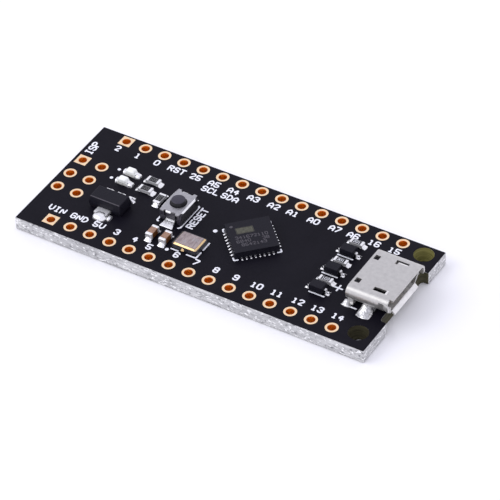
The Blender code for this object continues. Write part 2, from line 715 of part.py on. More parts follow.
def chip_capacitor(name, x, y, heading):
    """Ceramic block with a metal cap over each end."""
    at = (x, y, 0)
    wall = CAPACITOR_CAP_WALL
    half, half_width, top = CAPACITOR_SIZE[0] / 2, CAPACITOR_SIZE[1] / 2, CAPACITOR_SIZE[2]
    clear = wall + GAP
    ceramic = span_box((-half + clear, half - clear), (-half_width + clear, half_width - clear),
                       (GAP + clear, top - clear))
    part(f"{name}_body", ceramic, "capacitor_ceramic", at, heading)
    for label, side in (("a", -1), ("b", 1)):
        block = span_box(side_span(side, half - CAPACITOR_CAP, half), (-half_width, half_width), (GAP, top))
        cap = part(f"{name}_terminal_{label}", block, "tin", at, heading)
        pocket = span_box(side_span(side, 0.0, half - wall), (-half_width + wall, half_width - wall),
                          (GAP + wall, top - wall))
        cut(cap, pocket, at, heading)


def diode(name, x, y, heading):
    """Moulded block with a bent lead at each end."""
    at = (x, y, 0)
    half = DIODE_SIZE[0] / 2
    block = box_mesh(DIODE_SIZE, (0, 0, DIODE_TOP - DIODE_SIZE[2] / 2), DIODE_BEVEL)
    part(f"{name}_body", block, "moulded_epoxy", at, heading)
    foot = GAP + DIODE_LEAD / 2
    for label, side in (("anode", -1), ("cathode", 1)):
        knee = side * (half + GAP + DIODE_LEAD)
        path = [(side * (half + GAP), DIODE_LEAD_EXIT), (knee, DIODE_LEAD_EXIT), (knee, foot),
                (side * (half + DIODE_FOOT), foot)]
        part(f"{name}_{label}", strip_mesh(path, DIODE_LEAD, DIODE_LEAD_WIDTH), "tin", at, heading)


def led(name, x, y, heading):
    """Clear lens block on a thin substrate with plated ends."""
    at = (x, y, 0)
    base_top = LED_SIZE[2]
    substrate = inset_box(LED_SIZE[:2], 0.0, (GAP, base_top))
    part(f"{name}_substrate", substrate, "led_substrate", at, heading)
    middle_z = base_top + GAP + LED_LENS_SIZE[2] / 2
    lens = box_mesh(LED_LENS_SIZE, (0, 0, middle_z))
    for vert in lens.verts:
        if vert.co.z > middle_z:
            vert.co.x *= LED_LENS_TAPER[0]
            vert.co.y *= LED_LENS_TAPER[1]
    part(f"{name}_lens", lens, "led_lens", at, heading)


def build_chips():
    for entry in RESISTORS:
        chip_resistor(*entry)
    for entry in CAPACITORS:
        chip_capacitor(*entry)
    for entry in DIODES:
        diode(*entry)
    for entry in LEDS:
        led(*entry)


clear_scene()
PARTS = make_collection("microcontroller_dev_board")
CUTTERS = make_collection("cutters")
build_board()
build_usb_shell()
build_usb_insulator()
build_usb_contacts()
build_switch()
build_regulator()
build_mcu()
build_crystal()
build_chips()
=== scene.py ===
import math
import random
from functools import partial

import bmesh
import bpy
from mathutils import Matrix, Vector


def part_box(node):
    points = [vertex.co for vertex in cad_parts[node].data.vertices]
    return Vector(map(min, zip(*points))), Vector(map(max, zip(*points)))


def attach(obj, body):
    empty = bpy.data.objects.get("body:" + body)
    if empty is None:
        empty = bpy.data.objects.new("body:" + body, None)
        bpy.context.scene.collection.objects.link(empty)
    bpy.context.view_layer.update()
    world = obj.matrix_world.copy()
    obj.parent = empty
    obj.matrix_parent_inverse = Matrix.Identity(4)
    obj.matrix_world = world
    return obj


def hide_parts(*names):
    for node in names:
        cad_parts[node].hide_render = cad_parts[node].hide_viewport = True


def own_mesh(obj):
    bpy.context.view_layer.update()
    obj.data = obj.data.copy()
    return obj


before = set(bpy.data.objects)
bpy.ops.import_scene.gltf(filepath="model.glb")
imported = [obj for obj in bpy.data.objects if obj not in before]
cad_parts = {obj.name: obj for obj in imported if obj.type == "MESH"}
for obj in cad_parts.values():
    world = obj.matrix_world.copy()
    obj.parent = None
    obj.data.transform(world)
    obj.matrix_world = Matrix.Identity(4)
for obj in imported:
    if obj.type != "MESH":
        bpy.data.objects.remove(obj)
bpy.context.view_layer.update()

MM = 0.001

# The board's grid, in millimetres: X from the first pin of the rows, Y from the line midway between the
# rows, Z from the board's top face.  Every mesh below is made in these units and scaled at the end.
board_low, board_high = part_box("circuit_board")
FIRST_PIN_INSET = 3.65
ROW_LINE_Y = 0.315
DATUM = Vector((board_low.x + FIRST_PIN_INSET * MM, ROW_LINE_Y * MM, board_high.z))
PIN_PITCH = 2.54
PINS_PER_ROW = 15
HALF_ROW_SPACING = 7.62

ORIGIN = (0, 0, 0)
# Points closer than this are made one
WELD = 0.0005


def grid(point):
    """Grid millimetres of a point given in metres."""
    return (Vector(point) - DATUM) / MM


def span(node):
    """Lowest and highest corners of a CAD node, in grid millimetres."""
    low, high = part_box(node)
    return grid(low), grid(high)


def middle(node):
    low, high = span(node)
    return ((low.x + high.x) / 2, (low.y + high.y) / 2)


# Meshes in millimetres


def mesh_from(bm, name):
    """Mesh of a bmesh, which is freed."""
    mesh = bpy.data.meshes.new(name)
    bm.to_mesh(mesh)
    bm.free()
    return mesh


def placed(name, data):
    """New object in the scene."""
    item = bpy.data.objects.new(name, data)
    bpy.context.scene.collection.objects.link(item)
    return item


def cube(low, high):
    size = [b - a for a, b in zip(low, high)]
    centre = [(a + b) / 2 for a, b in zip(low, high)]
    bm = bmesh.new()
    bmesh.ops.create_cube(bm, size=1.0, matrix=Matrix.Translation(centre) @ Matrix.Diagonal((*size, 1.0)))
    return bm


def block(size_x, size_y, low_z, high_z, x=0.0, y=0.0):
    return cube((x - size_x / 2, y - size_y / 2, low_z), (x + size_x / 2, y + size_y / 2, high_z))


def moulded(size_x, size_y, low_z, high_z, parting, draft):
    """Moulded block, widest at its parting line, with drafted sides above and below."""
    bm = block(size_x, size_y, low_z, high_z)
    bmesh.ops.bisect_plane(bm, geom=bm.verts[:] + bm.edges[:] + bm.faces[:], plane_co=(0, 0, parting),
                           plane_no=(0, 0, 1))
    for vert in bm.verts:
        away = abs(vert.co.z - parting)
        if away > 0.001:
            vert.co.x -= math.copysign(draft * away, vert.co.x)
            vert.co.y -= math.copysign(draft * away, vert.co.y)
    return bm


def cylinder(radius, low_z, high_z, x=0.0, y=0.0, sides=48, top_radius=None):
    bm = bmesh.new()
    bmesh.ops.create_cone(bm, cap_ends=True, segments=sides, radius1=radius,
                          radius2=radius if top_radius is None else top_radius, depth=high_z - low_z,
                          matrix=Matrix.Translation((x, y, (low_z + high_z) / 2)))
    return bm


def circle(radius, x=0.0, y=0.0, sides=40):
    return [(x + radius * math.cos(math.tau * k / sides), y + radius * math.sin(math.tau * k / sides))
            for k in range(sides)]


def square(half, x=0.0, y=0.0):
    return [(x + sx * half, y + sy * half) for sx, sy in ((-1, -1), (1, -1), (1, 1), (-1, 1))]


def arc_points(back, here, ahead, radius, steps):
    """Round corner at here, between the points before and after it."""
    here = Vector(here)
    to_back = (Vector(back) - here).normalized()
    to_ahead = (Vector(ahead) - here).normalized()
    half = to_back.angle(to_ahead) / 2
    if half > math.radians(88) or radius == 0:
        return [tuple(here)]
    centre = here + (to_back + to_ahead).normalized() * radius / math.sin(half)
    start = here + to_back * radius / math.tan(half) - centre
    end = here + to_ahead * radius / math.tan(half) - centre
    sweep = start.angle_signed(end)
    points = []
    for step in range(steps + 1):
        spoke = start.copy()
        spoke.rotate(Matrix.Rotation(-sweep * step / steps, 2))
        points.append(tuple(centre + spoke))
    return points


def rounded_outline(corners, steps=5):
    """Closed outline from (x, y, radius) corners."""
    count = len(corners)
    points = []
    for k, (x, y, radius) in enumerate(corners):
        points += arc_points(corners[k - 1][:2], (x, y), corners[(k + 1) % count][:2], radius, steps)
    return points


def rounded_path(points, radius, steps=3):
    """Open path with its inner corners rounded."""
    route = [tuple(points[0])]
    for back, here, ahead in zip(points, points[1:], points[2:]):
        route += arc_points(back, here, ahead, radius, steps)
    return route + [tuple(points[-1])]


def mesh_of(holder):
    """Final mesh of a temporary object, which is removed."""
    bpy.context.view_layer.update()
    depsgraph = bpy.context.evaluated_depsgraph_get()
    mesh = bpy.data.meshes.new_from_object(holder.evaluated_get(depsgraph))
    bpy.data.objects.remove(holder)
    return mesh


def solid_of(curve):
    """Mesh of a curve, which is removed."""
    mesh = mesh_of(placed("curve", curve))
    bm = bmesh.new()
    bm.from_mesh(mesh)
    bpy.data.meshes.remove(mesh)
    bpy.data.curves.remove(curve)
    bmesh.ops.remove_doubles(bm, verts=bm.verts[:], dist=WELD)
    return bm


def add_line(curve, run, closed):
    """Adds a line through (point, radius) pairs to a curve."""
    spline = curve.splines.new("POLY")
    spline.points.add(len(run) - 1)
    spline.use_cyclic_u = closed
    for point, (place, radius) in zip(spline.points, run):
        point.co = (place[0], place[1], 0.0, 1.0)
        point.radius = radius


def extruded(outlines, thickness, fill="BOTH"):
    """Flat outlines, inner ones as holes, extruded to thickness about their own plane."""
    curve = bpy.data.curves.new("outline", "CURVE")
    curve.dimensions = "2D"
    curve.fill_mode = fill
    curve.extrude = thickness / 2
    for points in outlines:
        add_line(curve, [(point, 1.0) for point in points], True)
    bm = solid_of(curve)
    bmesh.ops.recalc_face_normals(bm, faces=bm.faces[:])
    return bm


def plate(outline, low_z, high_z, holes=()):
    bm = extruded([outline, *holes], high_z - low_z)
    bmesh.ops.translate(bm, verts=bm.verts[:], vec=(0, 0, (low_z + high_z) / 2))
    return bm


def revolved(profile, x=0.0, y=0.0, sides=48):
    """Solid turned about Z from an outline in (radius, height)."""
    bm = bmesh.new()
    verts = [bm.verts.new((radius, 0.0, height)) for radius, height in profile]
    edges = [bm.edges.new(pair) for pair in zip(verts, verts[1:])]
    if profile[0][0] > 0:
        edges.append(bm.edges.new((verts[-1], verts[0])))
    bmesh.ops.spin(bm, geom=verts + edges, cent=ORIGIN, axis=(0, 0, 1), angle=math.tau, steps=sides,
                   use_merge=True)
    bmesh.ops.remove_doubles(bm, verts=bm.verts[:], dist=WELD)
    bmesh.ops.recalc_face_normals(bm, faces=bm.faces[:])
    bmesh.ops.translate(bm, verts=bm.verts[:], vec=(x, y, 0))
    return bm


def rotation(size, *turns):
    """Rotation matrix of (degrees, axis) pairs, the last of them first."""
    matrix = Matrix.Identity(size)
    for angle, axis in turns:
        matrix = matrix @ Matrix.Rotation(math.radians(angle), size, axis)
    return matrix


def turned(bm, *turns):
    bmesh.ops.rotate(bm, verts=bm.verts[:], cent=ORIGIN, matrix=rotation(3, *turns))
    return bm


def strip(path, thickness, width, heading=0.0):
    """Bent sheet-metal strip: the path runs along the heading and up, the width lies across it."""
    points = [Vector(point) for point in path]
    left, right = [], []
    for k, point in enumerate(points):
        before = (point - points[k - 1]).normalized() if k else (points[1] - point).normalized()
        after = (points[k + 1] - point).normalized() if k < len(points) - 1 else before
        mitre = (before + after).normalized()
        reach = thickness / 2 / mitre.dot(after)
        normal = Vector((-mitre.y, mitre.x)) * reach
        left.append(tuple(point + normal))
        right.append(tuple(point - normal))
    return turned(extruded([left + right[::-1]], width), (heading, "Z"), (90, "X"))


def joined(*meshes):
    """Several meshes as one, left as separate bodies."""
    whole = bmesh.new()
    for bm in meshes:
        mesh = mesh_from(bm, "piece")
        whole.from_mesh(mesh)
        bpy.data.meshes.remove(mesh)
    return whole


def moved(bm, x=0.0, y=0.0, z=0.0, heading=0.0):
    if heading:
        turned(bm, (heading, "Z"))
    bmesh.ops.translate(bm, verts=bm.verts[:], vec=(x, y, z))
    return bm


# Solder starts just under the board's face
BOARD_DIP = -0.02
# Powers under 1 make a mound's plan squarer than an ellipse
MOUND_POWER = 0.72


def mound(radius_x, radius_y, height, x=0.0, y=0.0, lumps=0.05, seed=1):
    """Solder that has run up over a foot: a low uneven dome, cut flat just under the board's face."""
    bm = bmesh.new()
    bmesh.ops.create_uvsphere(bm, u_segments=32, v_segments=20, radius=1.0)
    bmesh.ops.bisect_plane(bm, geom=bm.verts[:] + bm.edges[:] + bm.faces[:], plane_co=(0, 0, BOARD_DIP),
                           plane_no=(0, 0, -1), clear_outer=True)
    rng = random.Random(seed)
    waves = [(rng.uniform(2, 5), rng.uniform(2, 5), rng.uniform(0, math.tau)) for _ in range(4)]
    for vert in bm.verts:
        px, py, pz = vert.co
        swell = 1 + sum(math.sin(a * px + b * py + c) for a, b, c in waves) * lumps
        vert.co.x = math.copysign(abs(px) ** MOUND_POWER, px) * radius_x * swell
        vert.co.y = math.copysign(abs(py) ** MOUND_POWER, py) * radius_y * swell
        vert.co.z = max(BOARD_DIP, pz * height * swell)
    bmesh.ops.holes_fill(bm, edges=[edge for edge in bm.edges if edge.is_boundary])
    bmesh.ops.recalc_face_normals(bm, faces=bm.faces[:])
    return moved(bm, x, y)


def holder_of(bm):
    return placed("holder", mesh_from(bm, "holder"))


def shaped(bm, cuts=(), joins=(), bevel=0.0, segments=2, wall=0.0, angle=35):
    """Applies a wall thickness, exact Booleans and an edge rounding, and returns the finished mesh."""
    item = holder_of(bm)
    item.data.shade_smooth()
    item.data.set_sharp_from_angle(angle=math.radians(angle))
    if wall:
        solidify = item.modifiers.new("wall", "SOLIDIFY")
        solidify.thickness = wall
        solidify.offset = 0.0
        solidify.use_even_offset = True
    helpers = []
    for operation, tools in (("UNION", joins), ("DIFFERENCE", cuts)):
        for tool in tools:
            helpers.append(holder_of(tool))
            boolean = item.modifiers.new(operation, "BOOLEAN")
            boolean.operation = operation
            boolean.solver = "EXACT"
            boolean.object = helpers[-1]
    if bevel:
        rounding = item.modifiers.new("edges", "BEVEL")
        rounding.width = bevel
        rounding.segments = segments
        rounding.limit_method = "ANGLE"
        rounding.angle_limit = math.radians(angle)
        rounding.harden_normals = True
    mesh = mesh_of(item)
    for helper in helpers:
        bpy.data.objects.remove(helper)
    return mesh


def add(name, shape, finish, slot, body="board", replaces=(), at=(0, 0), heading=0.0, smooth=35):
    """Puts a mesh, made in millimetres about a grid position, on its body in the frame."""
    if isinstance(shape, bmesh.types.BMesh):
        mesh = mesh_from(shape, name)
        if smooth:
            mesh.shade_smooth()
            mesh.set_sharp_from_angle(angle=math.radians(smooth))
    else:
        mesh = shape
        mesh.name = name
    mesh.transform(Matrix.Translation(DATUM) @ Matrix.Scale(MM, 4) @ Matrix.Translation((*at, 0.0))
                   @ rotation(4, (heading, "Z")))
    item = placed(name, mesh)
    mesh.materials.clear()
    mesh.materials.append(finish)
    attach(item, body)
    if replaces:
        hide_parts(*replaces)
    return item


def paint(item, finish, chosen):
    """Gives a second material to the faces whose middle, in grid millimetres, and normal are chosen."""
    item.data.materials.append(finish)
    index = len(item.data.materials) - 1
    for face in item.data.polygons:
        if chosen(grid(face.center), face.normal):
            face.material_index = index


# Solder and ink


def fillet(width, length, height, x=0.0, y=0.0, heading=0.0, belly=0.25, steps=7):
    """Solder fillet: highest at its wall (local X = 0), running out along +X, concave, with round sides."""
    bm = bmesh.new()
    rows = []
    for i in range(steps + 1):
        u = i / steps
        reach = math.sqrt(max(0.0, 1 - (2 * u - 1) ** 6)) if u > 0.5 else 1.0
        row = []
        slope = (1 - u) ** 1.7 * (1 - belly) + belly * (1 - u ** 3)
        for j in range(steps + 1):
            v = 2 * j / steps - 1
            across = v * width / 2 * (0.25 + 0.75 * reach)
            rise = height * slope * (1 - abs(v) ** 3.5)
            row.append(bm.verts.new((u * length, across, 0.01 + rise)))
        rows.append(row)
    base = [[bm.verts.new((vert.co.x, vert.co.y, BOARD_DIP)) for vert in row] for row in rows]
    for i in range(steps):
        for j in range(steps):
            bm.faces.new((rows[i][j], rows[i + 1][j], rows[i + 1][j + 1], rows[i][j + 1]))
            bm.faces.new((base[i][j], base[i][j + 1], base[i + 1][j + 1], base[i + 1][j]))
    for k in range(steps):
        for a, b, c, d in ((rows[0][k], rows[0][k + 1], base[0][k + 1], base[0][k]),
                           (rows[-1][k + 1], rows[-1][k], base[-1][k], base[-1][k + 1]),
                           (rows[k + 1][0], rows[k][0], base[k][0], base[k + 1][0]),
                           (rows[k][-1], rows[k + 1][-1], base[k + 1][-1], base[k][-1])):
            bm.faces.new((a, b, c, d))
    return moved(bm, x, y, 0.0, heading)


# Steps of a stroke's round end, in degrees
CAP_ANGLES = (85, 60, 30)


def strokes(paths, half_width, height):
    """Raised lines with round ends, as thin ink."""
    curve = bpy.data.curves.new("stroke", "CURVE")
    curve.dimensions = "3D"
    curve.bevel_depth = half_width
    curve.bevel_resolution = 2
    curve.use_fill_caps = True
    for path in paths:
        points = rounded_path(path, half_width * 0.7, 2) if len(path) > 2 else list(path)
        closed = points[0] == points[-1]
        run = [(point, 1.0) for point in (points[:-1] if closed else points)]
        if not closed:
            first, second = Vector(points[0]), Vector(points[1])
            last, previous = Vector(points[-1]), Vector(points[-2])
            out_first = (first - second).normalized() * half_width
            out_last = (last - previous).normalized() * half_width
            caps = [(math.sin(math.radians(a)), math.cos(math.radians(a))) for a in CAP_ANGLES]
            run = ([(first + out_first * reach, radius) for reach, radius in caps] + run
                   + [(last + out_last * reach, radius) for reach, radius in reversed(caps)])
        add_line(curve, run, closed)
    bm = solid_of(curve)
    bmesh.ops.scale(bm, verts=bm.verts[:], vec=(1, 1, height / half_width))
    return bm


# Stroke letters on a grid 4 wide and 6 high: each pair of digits is a point, a bar starts a new stroke
GLYPHS = {
    "0": "10 30 41 45 36 16 05 01 10",
    "1": "15 26 20|10 30",
    "2": "05 16 36 45 44 00 40",
    "3": "05 16 36 45 44 33 23|33 42 41 30 10 01",
    "4": "30 36 02 42",
    "5": "46 06 03 33 42 41 30 10 01",
    "6": "45 36 16 05 01 10 30 41 42 33 03",
    "7": "06 46 45 10",
    "8": "13 04 05 16 36 45 44 33 42 41 30 10 01 02 13 33",
    "9": "01 10 30 41 45 36 16 05 04 13 43",
    "A": "00 04 26 44 40|02 42",
    "C": "41 30 10 01 05 16 36 45",
    "D": "00 06 26 44 42 20 00",
    "E": "40 00 06 46|03 33",
    "G": "45 36 16 05 01 10 30 41 43 23",
    "I": "20 26|10 30|16 36",
    "L": "06 00 40",
    "N": "00 06 40 46",
    "P": "00 06 36 45 44 33 03",
    "R": "00 06 36 45 44 33 03|23 40",
    "S": "45 36 16 05 04 13 33 42 41 30 10 01",
    "T": "06 46|26 20",
    "V": "06 02 20 42 46",
}


def lettering(text, x, y, height, advance, heading=0.0):
    """Stroke paths of a text centred on a point."""
    unit = height / 6
    turn = Matrix.Rotation(math.radians(heading), 2)
    paths = []
    for k, letter in enumerate(text):
        left = (k - (len(text) - 1) / 2) * advance - 2 * unit
        for stroke in GLYPHS[letter].split("|"):
            path = []
            for pair in stroke.split():
                local = Vector((left + int(pair[0]) * unit, (int(pair[1]) - 3) * unit))
                path.append(tuple(turn @ local + Vector((x, y))))
            paths.append(path)
    return paths


# Materials


def new_material(name, colour, roughness, metallic=0.0, **sockets):
    made = bpy.data.materials.new(name)
    made.use_nodes = True
    shader = made.node_tree.nodes["Principled BSDF"]
    shader.inputs["Base Color"].default_value = (*colour, 1.0)
    shader.inputs["Roughness"].default_value = roughness
    shader.inputs["Metallic"].default_value = metallic
    for socket, value in sockets.items():
        shader.inputs[socket.replace("_", " ")].default_value = value
    return made


def node(owner, kind, **inputs):
    """New node in the tree of a material or of the world."""
    made = owner.node_tree.nodes.new(f"ShaderNode{kind}")
    for socket, value in inputs.items():
        made.inputs[socket.replace("_", " ")].default_value = value
    return made


def noise(material, scale, detail=3.0, stretch=(1, 1, 1), rough=0.5):
    """Noise in object space, with scale in features per millimetre."""
    tree = material.node_tree
    where = node(material, "TexCoord")
    mapping = node(material, "Mapping", Scale=[s / MM for s in stretch])
    tree.links.new(where.outputs["Object"], mapping.inputs["Vector"])
    texture = node(material, "TexNoise", Scale=scale, Detail=detail, Roughness=rough)
    tree.links.new(mapping.outputs["Vector"], texture.inputs["Vector"])
    return texture.outputs["Fac"]


def ramp(owner, source, stops):
    """Colour ramp from (position, colour) stops."""
    made = node(owner, "ValToRGB")
    elements = made.color_ramp.elements
    while len(elements) < len(stops):
        elements.new(0.5)
    for element, (position, colour) in zip(elements, stops):
        element.position = position
        element.color = (*colour, 1.0)
    owner.node_tree.links.new(source, made.inputs["Fac"])
    return made.outputs["Color"]


def levels(owner, source, low, high, start=0.3, end=0.7):
    """Value that runs from low to high while the source runs from start to end."""
    made = node(owner, "MapRange", From_Min=start, From_Max=end, To_Min=low, To_Max=high)
    owner.node_tree.links.new(source, made.inputs["Value"])
    return made.outputs["Result"]


def drive(material, socket, source):
    shader = material.node_tree.nodes["Principled BSDF"]
    material.node_tree.links.new(source, shader.inputs[socket])


def bump(material, source, height_mm, strength=1.0):
    made = node(material, "Bump", Strength=strength, Distance=height_mm * MM)
    material.node_tree.links.new(source, made.inputs["Height"])
    drive(material, "Normal", made.outputs["Normal"])


def two_tone(material, source, dark, light):
    return ramp(material, source, [(0.3, dark), (0.7, light)])


def grained(name, dark, light, rough_span, scale, bump_mm, metallic=0.0, stretch=(1, 1, 1), detail=4.0,
            **sockets):
    """Finish whose colour, roughness and surface vary with one noise."""
    made = new_material(name, light, sum(rough_span) / 2, metallic, **sockets)
    grain = noise(made, scale, detail, stretch)
    drive(made, "Base Color", two_tone(made, grain, dark, light))
    drive(made, "Roughness", levels(made, grain, *rough_span))
    bump(made, noise(made, scale * 2.3, detail, stretch), bump_mm)
    return made


def mask_material():
    made = new_material("mask_black", (0.005, 0.0045, 0.008), 0.45, Specular_IOR_Level=0.09)
    cloud = noise(made, 0.35, 4.0)
    drive(made, "Base Color", two_tone(made, cloud, (0.0040, 0.0035, 0.0072), (0.0062, 0.0055, 0.0100)))
    drive(made, "Roughness", levels(made, noise(made, 3.0, 5.0), 0.38, 0.52))
    bump(made, noise(made, 9.0, 3.0), 0.0012)
    return made


def mixed(material, first, second, factor):
    """Two colours blended by a factor."""
    made = node(material, "Mix")
    made.data_type = "RGBA"
    colour_a, colour_b = (socket for socket in made.inputs if socket.type == "RGBA")
    for source, socket in ((first, colour_a), (second, colour_b), (factor, made.inputs[0])):
        material.node_tree.links.new(source, socket)
    return next(socket for socket in made.outputs if socket.type == "RGBA")


def fibre_edge_material():
    """Snapped glass-epoxy edge: pale, in layers, with dark pits and bright fibre ends."""
    made = new_material("fibre_edge", (0.55, 0.55, 0.54), 0.75, Specular_IOR_Level=0.3)
    layers = noise(made, 0.9, 5.0, (0.45, 0.45, 2.6), 0.7)
    body = ramp(made, layers, [(0.3, (0.35, 0.35, 0.35)), (0.5, (0.50, 0.50, 0.50)),
                               (0.68, (0.70, 0.70, 0.69))])
    pits = levels(made, noise(made, 2.1, 2.0, (1, 1, 1.7), 0.4), 0.0, 1.0, 0.60, 0.70)
    pit_colour = two_tone(made, layers, (0.16, 0.16, 0.17), (0.26, 0.26, 0.27))
    pitted = mixed(made, body, pit_colour, pits)
    fibres = levels(made, noise(made, 3.3, 3.0, (0.8, 0.8, 1.6), 0.5), 0.0, 1.0, 0.57, 0.66)
    fibre_colour = two_tone(made, layers, (0.88, 0.88, 0.87), (0.97, 0.97, 0.95))
    drive(made, "Base Color", mixed(made, pitted, fibre_colour, fibres))
    bump(made, noise(made, 6.0, 5.0, (1, 1, 1.8), 0.6), 0.05)
    return made


def bare_laminate_material(name, dark, light):
    """Drilled or milled glass-epoxy: olive, with fine weave lines round the hole."""
    made = new_material(name, light, 0.6, Specular_IOR_Level=0.2)
    weave = noise(made, 1.0, 3.0, (0.4, 0.4, 9.0))
    drive(made, "Base Color", two_tone(made, weave, dark, light))
    bump(made, noise(made, 4.0, 3.0, (0.6, 0.6, 3.0)), 0.02)
    return made


MASK = mask_material()
FIBRE = fibre_edge_material()
BARE = bare_laminate_material("bare_laminate", (0.10, 0.095, 0.022), (0.27, 0.25, 0.085))
# Darker copy of the bare laminate, as painted shade on the near mounting hole and the notch walls
BARE_PAINTED_SHADE = bare_laminate_material("bare_laminate_painted_shade", (0.018, 0.015, 0.006), (0.075, 0.070, 0.038))
INK = grained("ink_white", (0.86, 0.88, 0.93), (0.94, 0.95, 0.99), (0.45, 0.6), 6.0, 0.004)
GOLD = grained("plated_gold", (0.98, 0.70, 0.42), (1.0, 0.80, 0.53), (0.28, 0.42), 5.0, 0.004, 0.85)
BARREL = grained("barrel_gold", (0.95, 0.42, 0.035), (1.0, 0.54, 0.07), (0.3, 0.45), 5.0, 0.01, 1.0)
SOLDER = grained("solder", (0.84, 0.84, 0.85), (0.98, 0.98, 0.97), (0.18, 0.32), 2.0, 0.014, 0.85)
# Solder whose colour runs from dark to bright in large patches, as painted reflections
SOLDER_PAINTED_REFLECTIONS = grained("solder_painted_reflections", (0.14, 0.14, 0.15), (0.98, 0.98, 0.96), (0.10, 0.22), 1.1, 0.08, 0.97)
TIN = grained("tin_plate", (0.82, 0.82, 0.83), (0.94, 0.94, 0.93), (0.28, 0.42), 5.0, 0.006, 0.6)
SHELL = grained("shell_nickel", (0.52, 0.51, 0.49), (0.61, 0.60, 0.575), (0.32, 0.45), 2.2, 0.008,
                0.92, detail=6.0)
# Brighter copy of the shell's nickel, as painted highlight on the lip, the window tabs and the feet
NICKEL_PAINTED_HIGHLIGHT = grained("nickel_painted_highlight", (0.76, 0.75, 0.73), (0.93, 0.92, 0.89), (0.38, 0.5), 1.6, 0.010, 0.75)
COVER = grained("cover_steel", (0.37, 0.365, 0.38), (0.465, 0.46, 0.475), (0.34, 0.44), 4.0, 0.005, 0.9)
BLACK = grained("plastic_black", (0.006, 0.006, 0.008), (0.011, 0.010, 0.013), (0.42, 0.55), 8.0, 0.006,
                Specular_IOR_Level=0.25)
EPOXY = grained("moulding_epoxy", (0.0057, 0.0055, 0.0098), (0.0120, 0.0114, 0.0178), (0.42, 0.54),
                12.0, 0.010, Specular_IOR_Level=0.14)
HOUSING = grained("switch_nylon", (0.022, 0.020, 0.028), (0.055, 0.050, 0.066), (0.25, 0.4), 3.0, 0.02)
PLUNGER = grained("plunger_plastic", (0.017, 0.0145, 0.028), (0.028, 0.024, 0.043), (0.30, 0.40), 6.0, 0.006)
ALUMINA = grained("alumina", (0.36, 0.36, 0.37), (0.52, 0.52, 0.52), (0.55, 0.65), 9.0, 0.006)
GLAZE = grained("resistor_glaze", (0.005, 0.005, 0.007), (0.011, 0.011, 0.013), (0.30, 0.40), 5.0, 0.004,
                Specular_IOR_Level=0.3)
CERAMIC = grained("capacitor_ceramic", (0.24, 0.125, 0.075), (0.40, 0.24, 0.16), (0.35, 0.5), 5.0, 0.010)
# Darker ceramic for a capacitor's sides, as painted shade
CERAMIC_PAINTED_SHADE = grained("capacitor_side_painted_shade", (0.085, 0.028, 0.006), (0.16, 0.060, 0.014), (0.35, 0.5), 5.0, 0.010)
DARK_CERAMIC = grained("crystal_ceramic", (0.012, 0.011, 0.016), (0.030, 0.028, 0.036), (0.35, 0.5),
                       5.0, 0.008)
LID = grained("crystal_lid", (0.27, 0.215, 0.215), (0.50, 0.43, 0.42), (0.30, 0.42), 3.2, 0.012,
              0.95, (2.2, 0.5, 1), 5.0)
RIM_GOLD = grained("rim_gold", (0.72, 0.48, 0.21), (0.84, 0.64, 0.36), (0.26, 0.38), 4.0, 0.004, 0.9)
MARK = grained("laser_mark", (0.040, 0.036, 0.044), (0.085, 0.078, 0.092), (0.6, 0.7), 6.0, 0.004)
BADGE = grained("laser_badge", (0.040, 0.040, 0.026), (0.092, 0.092, 0.064), (0.6, 0.7), 4.0, 0.004)
FAINT = grained("faint_mark", (0.10, 0.10, 0.10), (0.22, 0.22, 0.22), (0.6, 0.7), 6.0, 0.004)
LENS = grained("led_resin", (0.90, 0.93, 0.88), (0.97, 0.98, 0.94), (0.18, 0.28), 2.0, 0.006,
               Coat_Weight=0.5)
SUBSTRATE = grained("led_substrate", (0.70, 0.70, 0.66), (0.82, 0.82, 0.78), (0.45, 0.6), 6.0, 0.006)
QUARTZ = grained("quartz", (0.75, 0.76, 0.80), (0.85, 0.86, 0.90), (0.05, 0.12), 3.0, 0.001,
                 Transmission_Weight=0.6)


# Board


THICKNESS = (board_high.z - board_low.z) / MM
MASK_DEPTH = 0.03
PAD_RADIUS = 0.757
HOLE_RADIUS = 0.488
BARREL_WALL = 0.03
MASK_OPENING = PAD_RADIUS - 0.01
# How far the rings lie under the mask's face
PAD_SINK = 0.006
NOTCH_X = 39.45
NOTCH_Y = (-4.25, 4.75)
NOTCH_CORNER = 0.4
# The mounting holes narrow towards the underside, so that little of the floor shows through them: the board's
# own dark wall and underside stand in for the shade under the board
MOUNT_RADIUS = 1.15
MOUNT_EXIT_RADIUS = 0.68
MOUNT_REACH = MOUNT_RADIUS + 0.05
MOUNT_HOLES = [(38.4, 7.15), (38.4, -6.95)]
board_left, board_near = grid(board_low).x, grid(board_low).y
board_right, board_far = grid(board_high).x, grid(board_high).y


def pin_grid():
    """Places of the plated holes, each with whether its pad is square."""
    rows = [(PIN_PITCH * k, side * HALF_ROW_SPACING, k == 0) for side in (1, -1) for k in range(PINS_PER_ROW)]
    header = [(PIN_PITCH * column, PIN_PITCH * row, (column, row) == (-1, 1))
              for column in (-1, 0) for row in (1, 0, -1)]
    return rows + header


def board_outline(inset=0.0):
    low, high = NOTCH_Y
    left, right = board_left + inset, board_right - inset
    near, far = board_near + inset, board_far - inset
    return rounded_outline([
        (left, near, 0.0), (right, near, 0.0),
        (right, low - inset, 0.15), (NOTCH_X - inset, low - inset, NOTCH_CORNER),
        (NOTCH_X - inset, high + inset, NOTCH_CORNER), (right, high + inset, 0.15),
        (right, far, 0.0), (left, far, 0.0)])


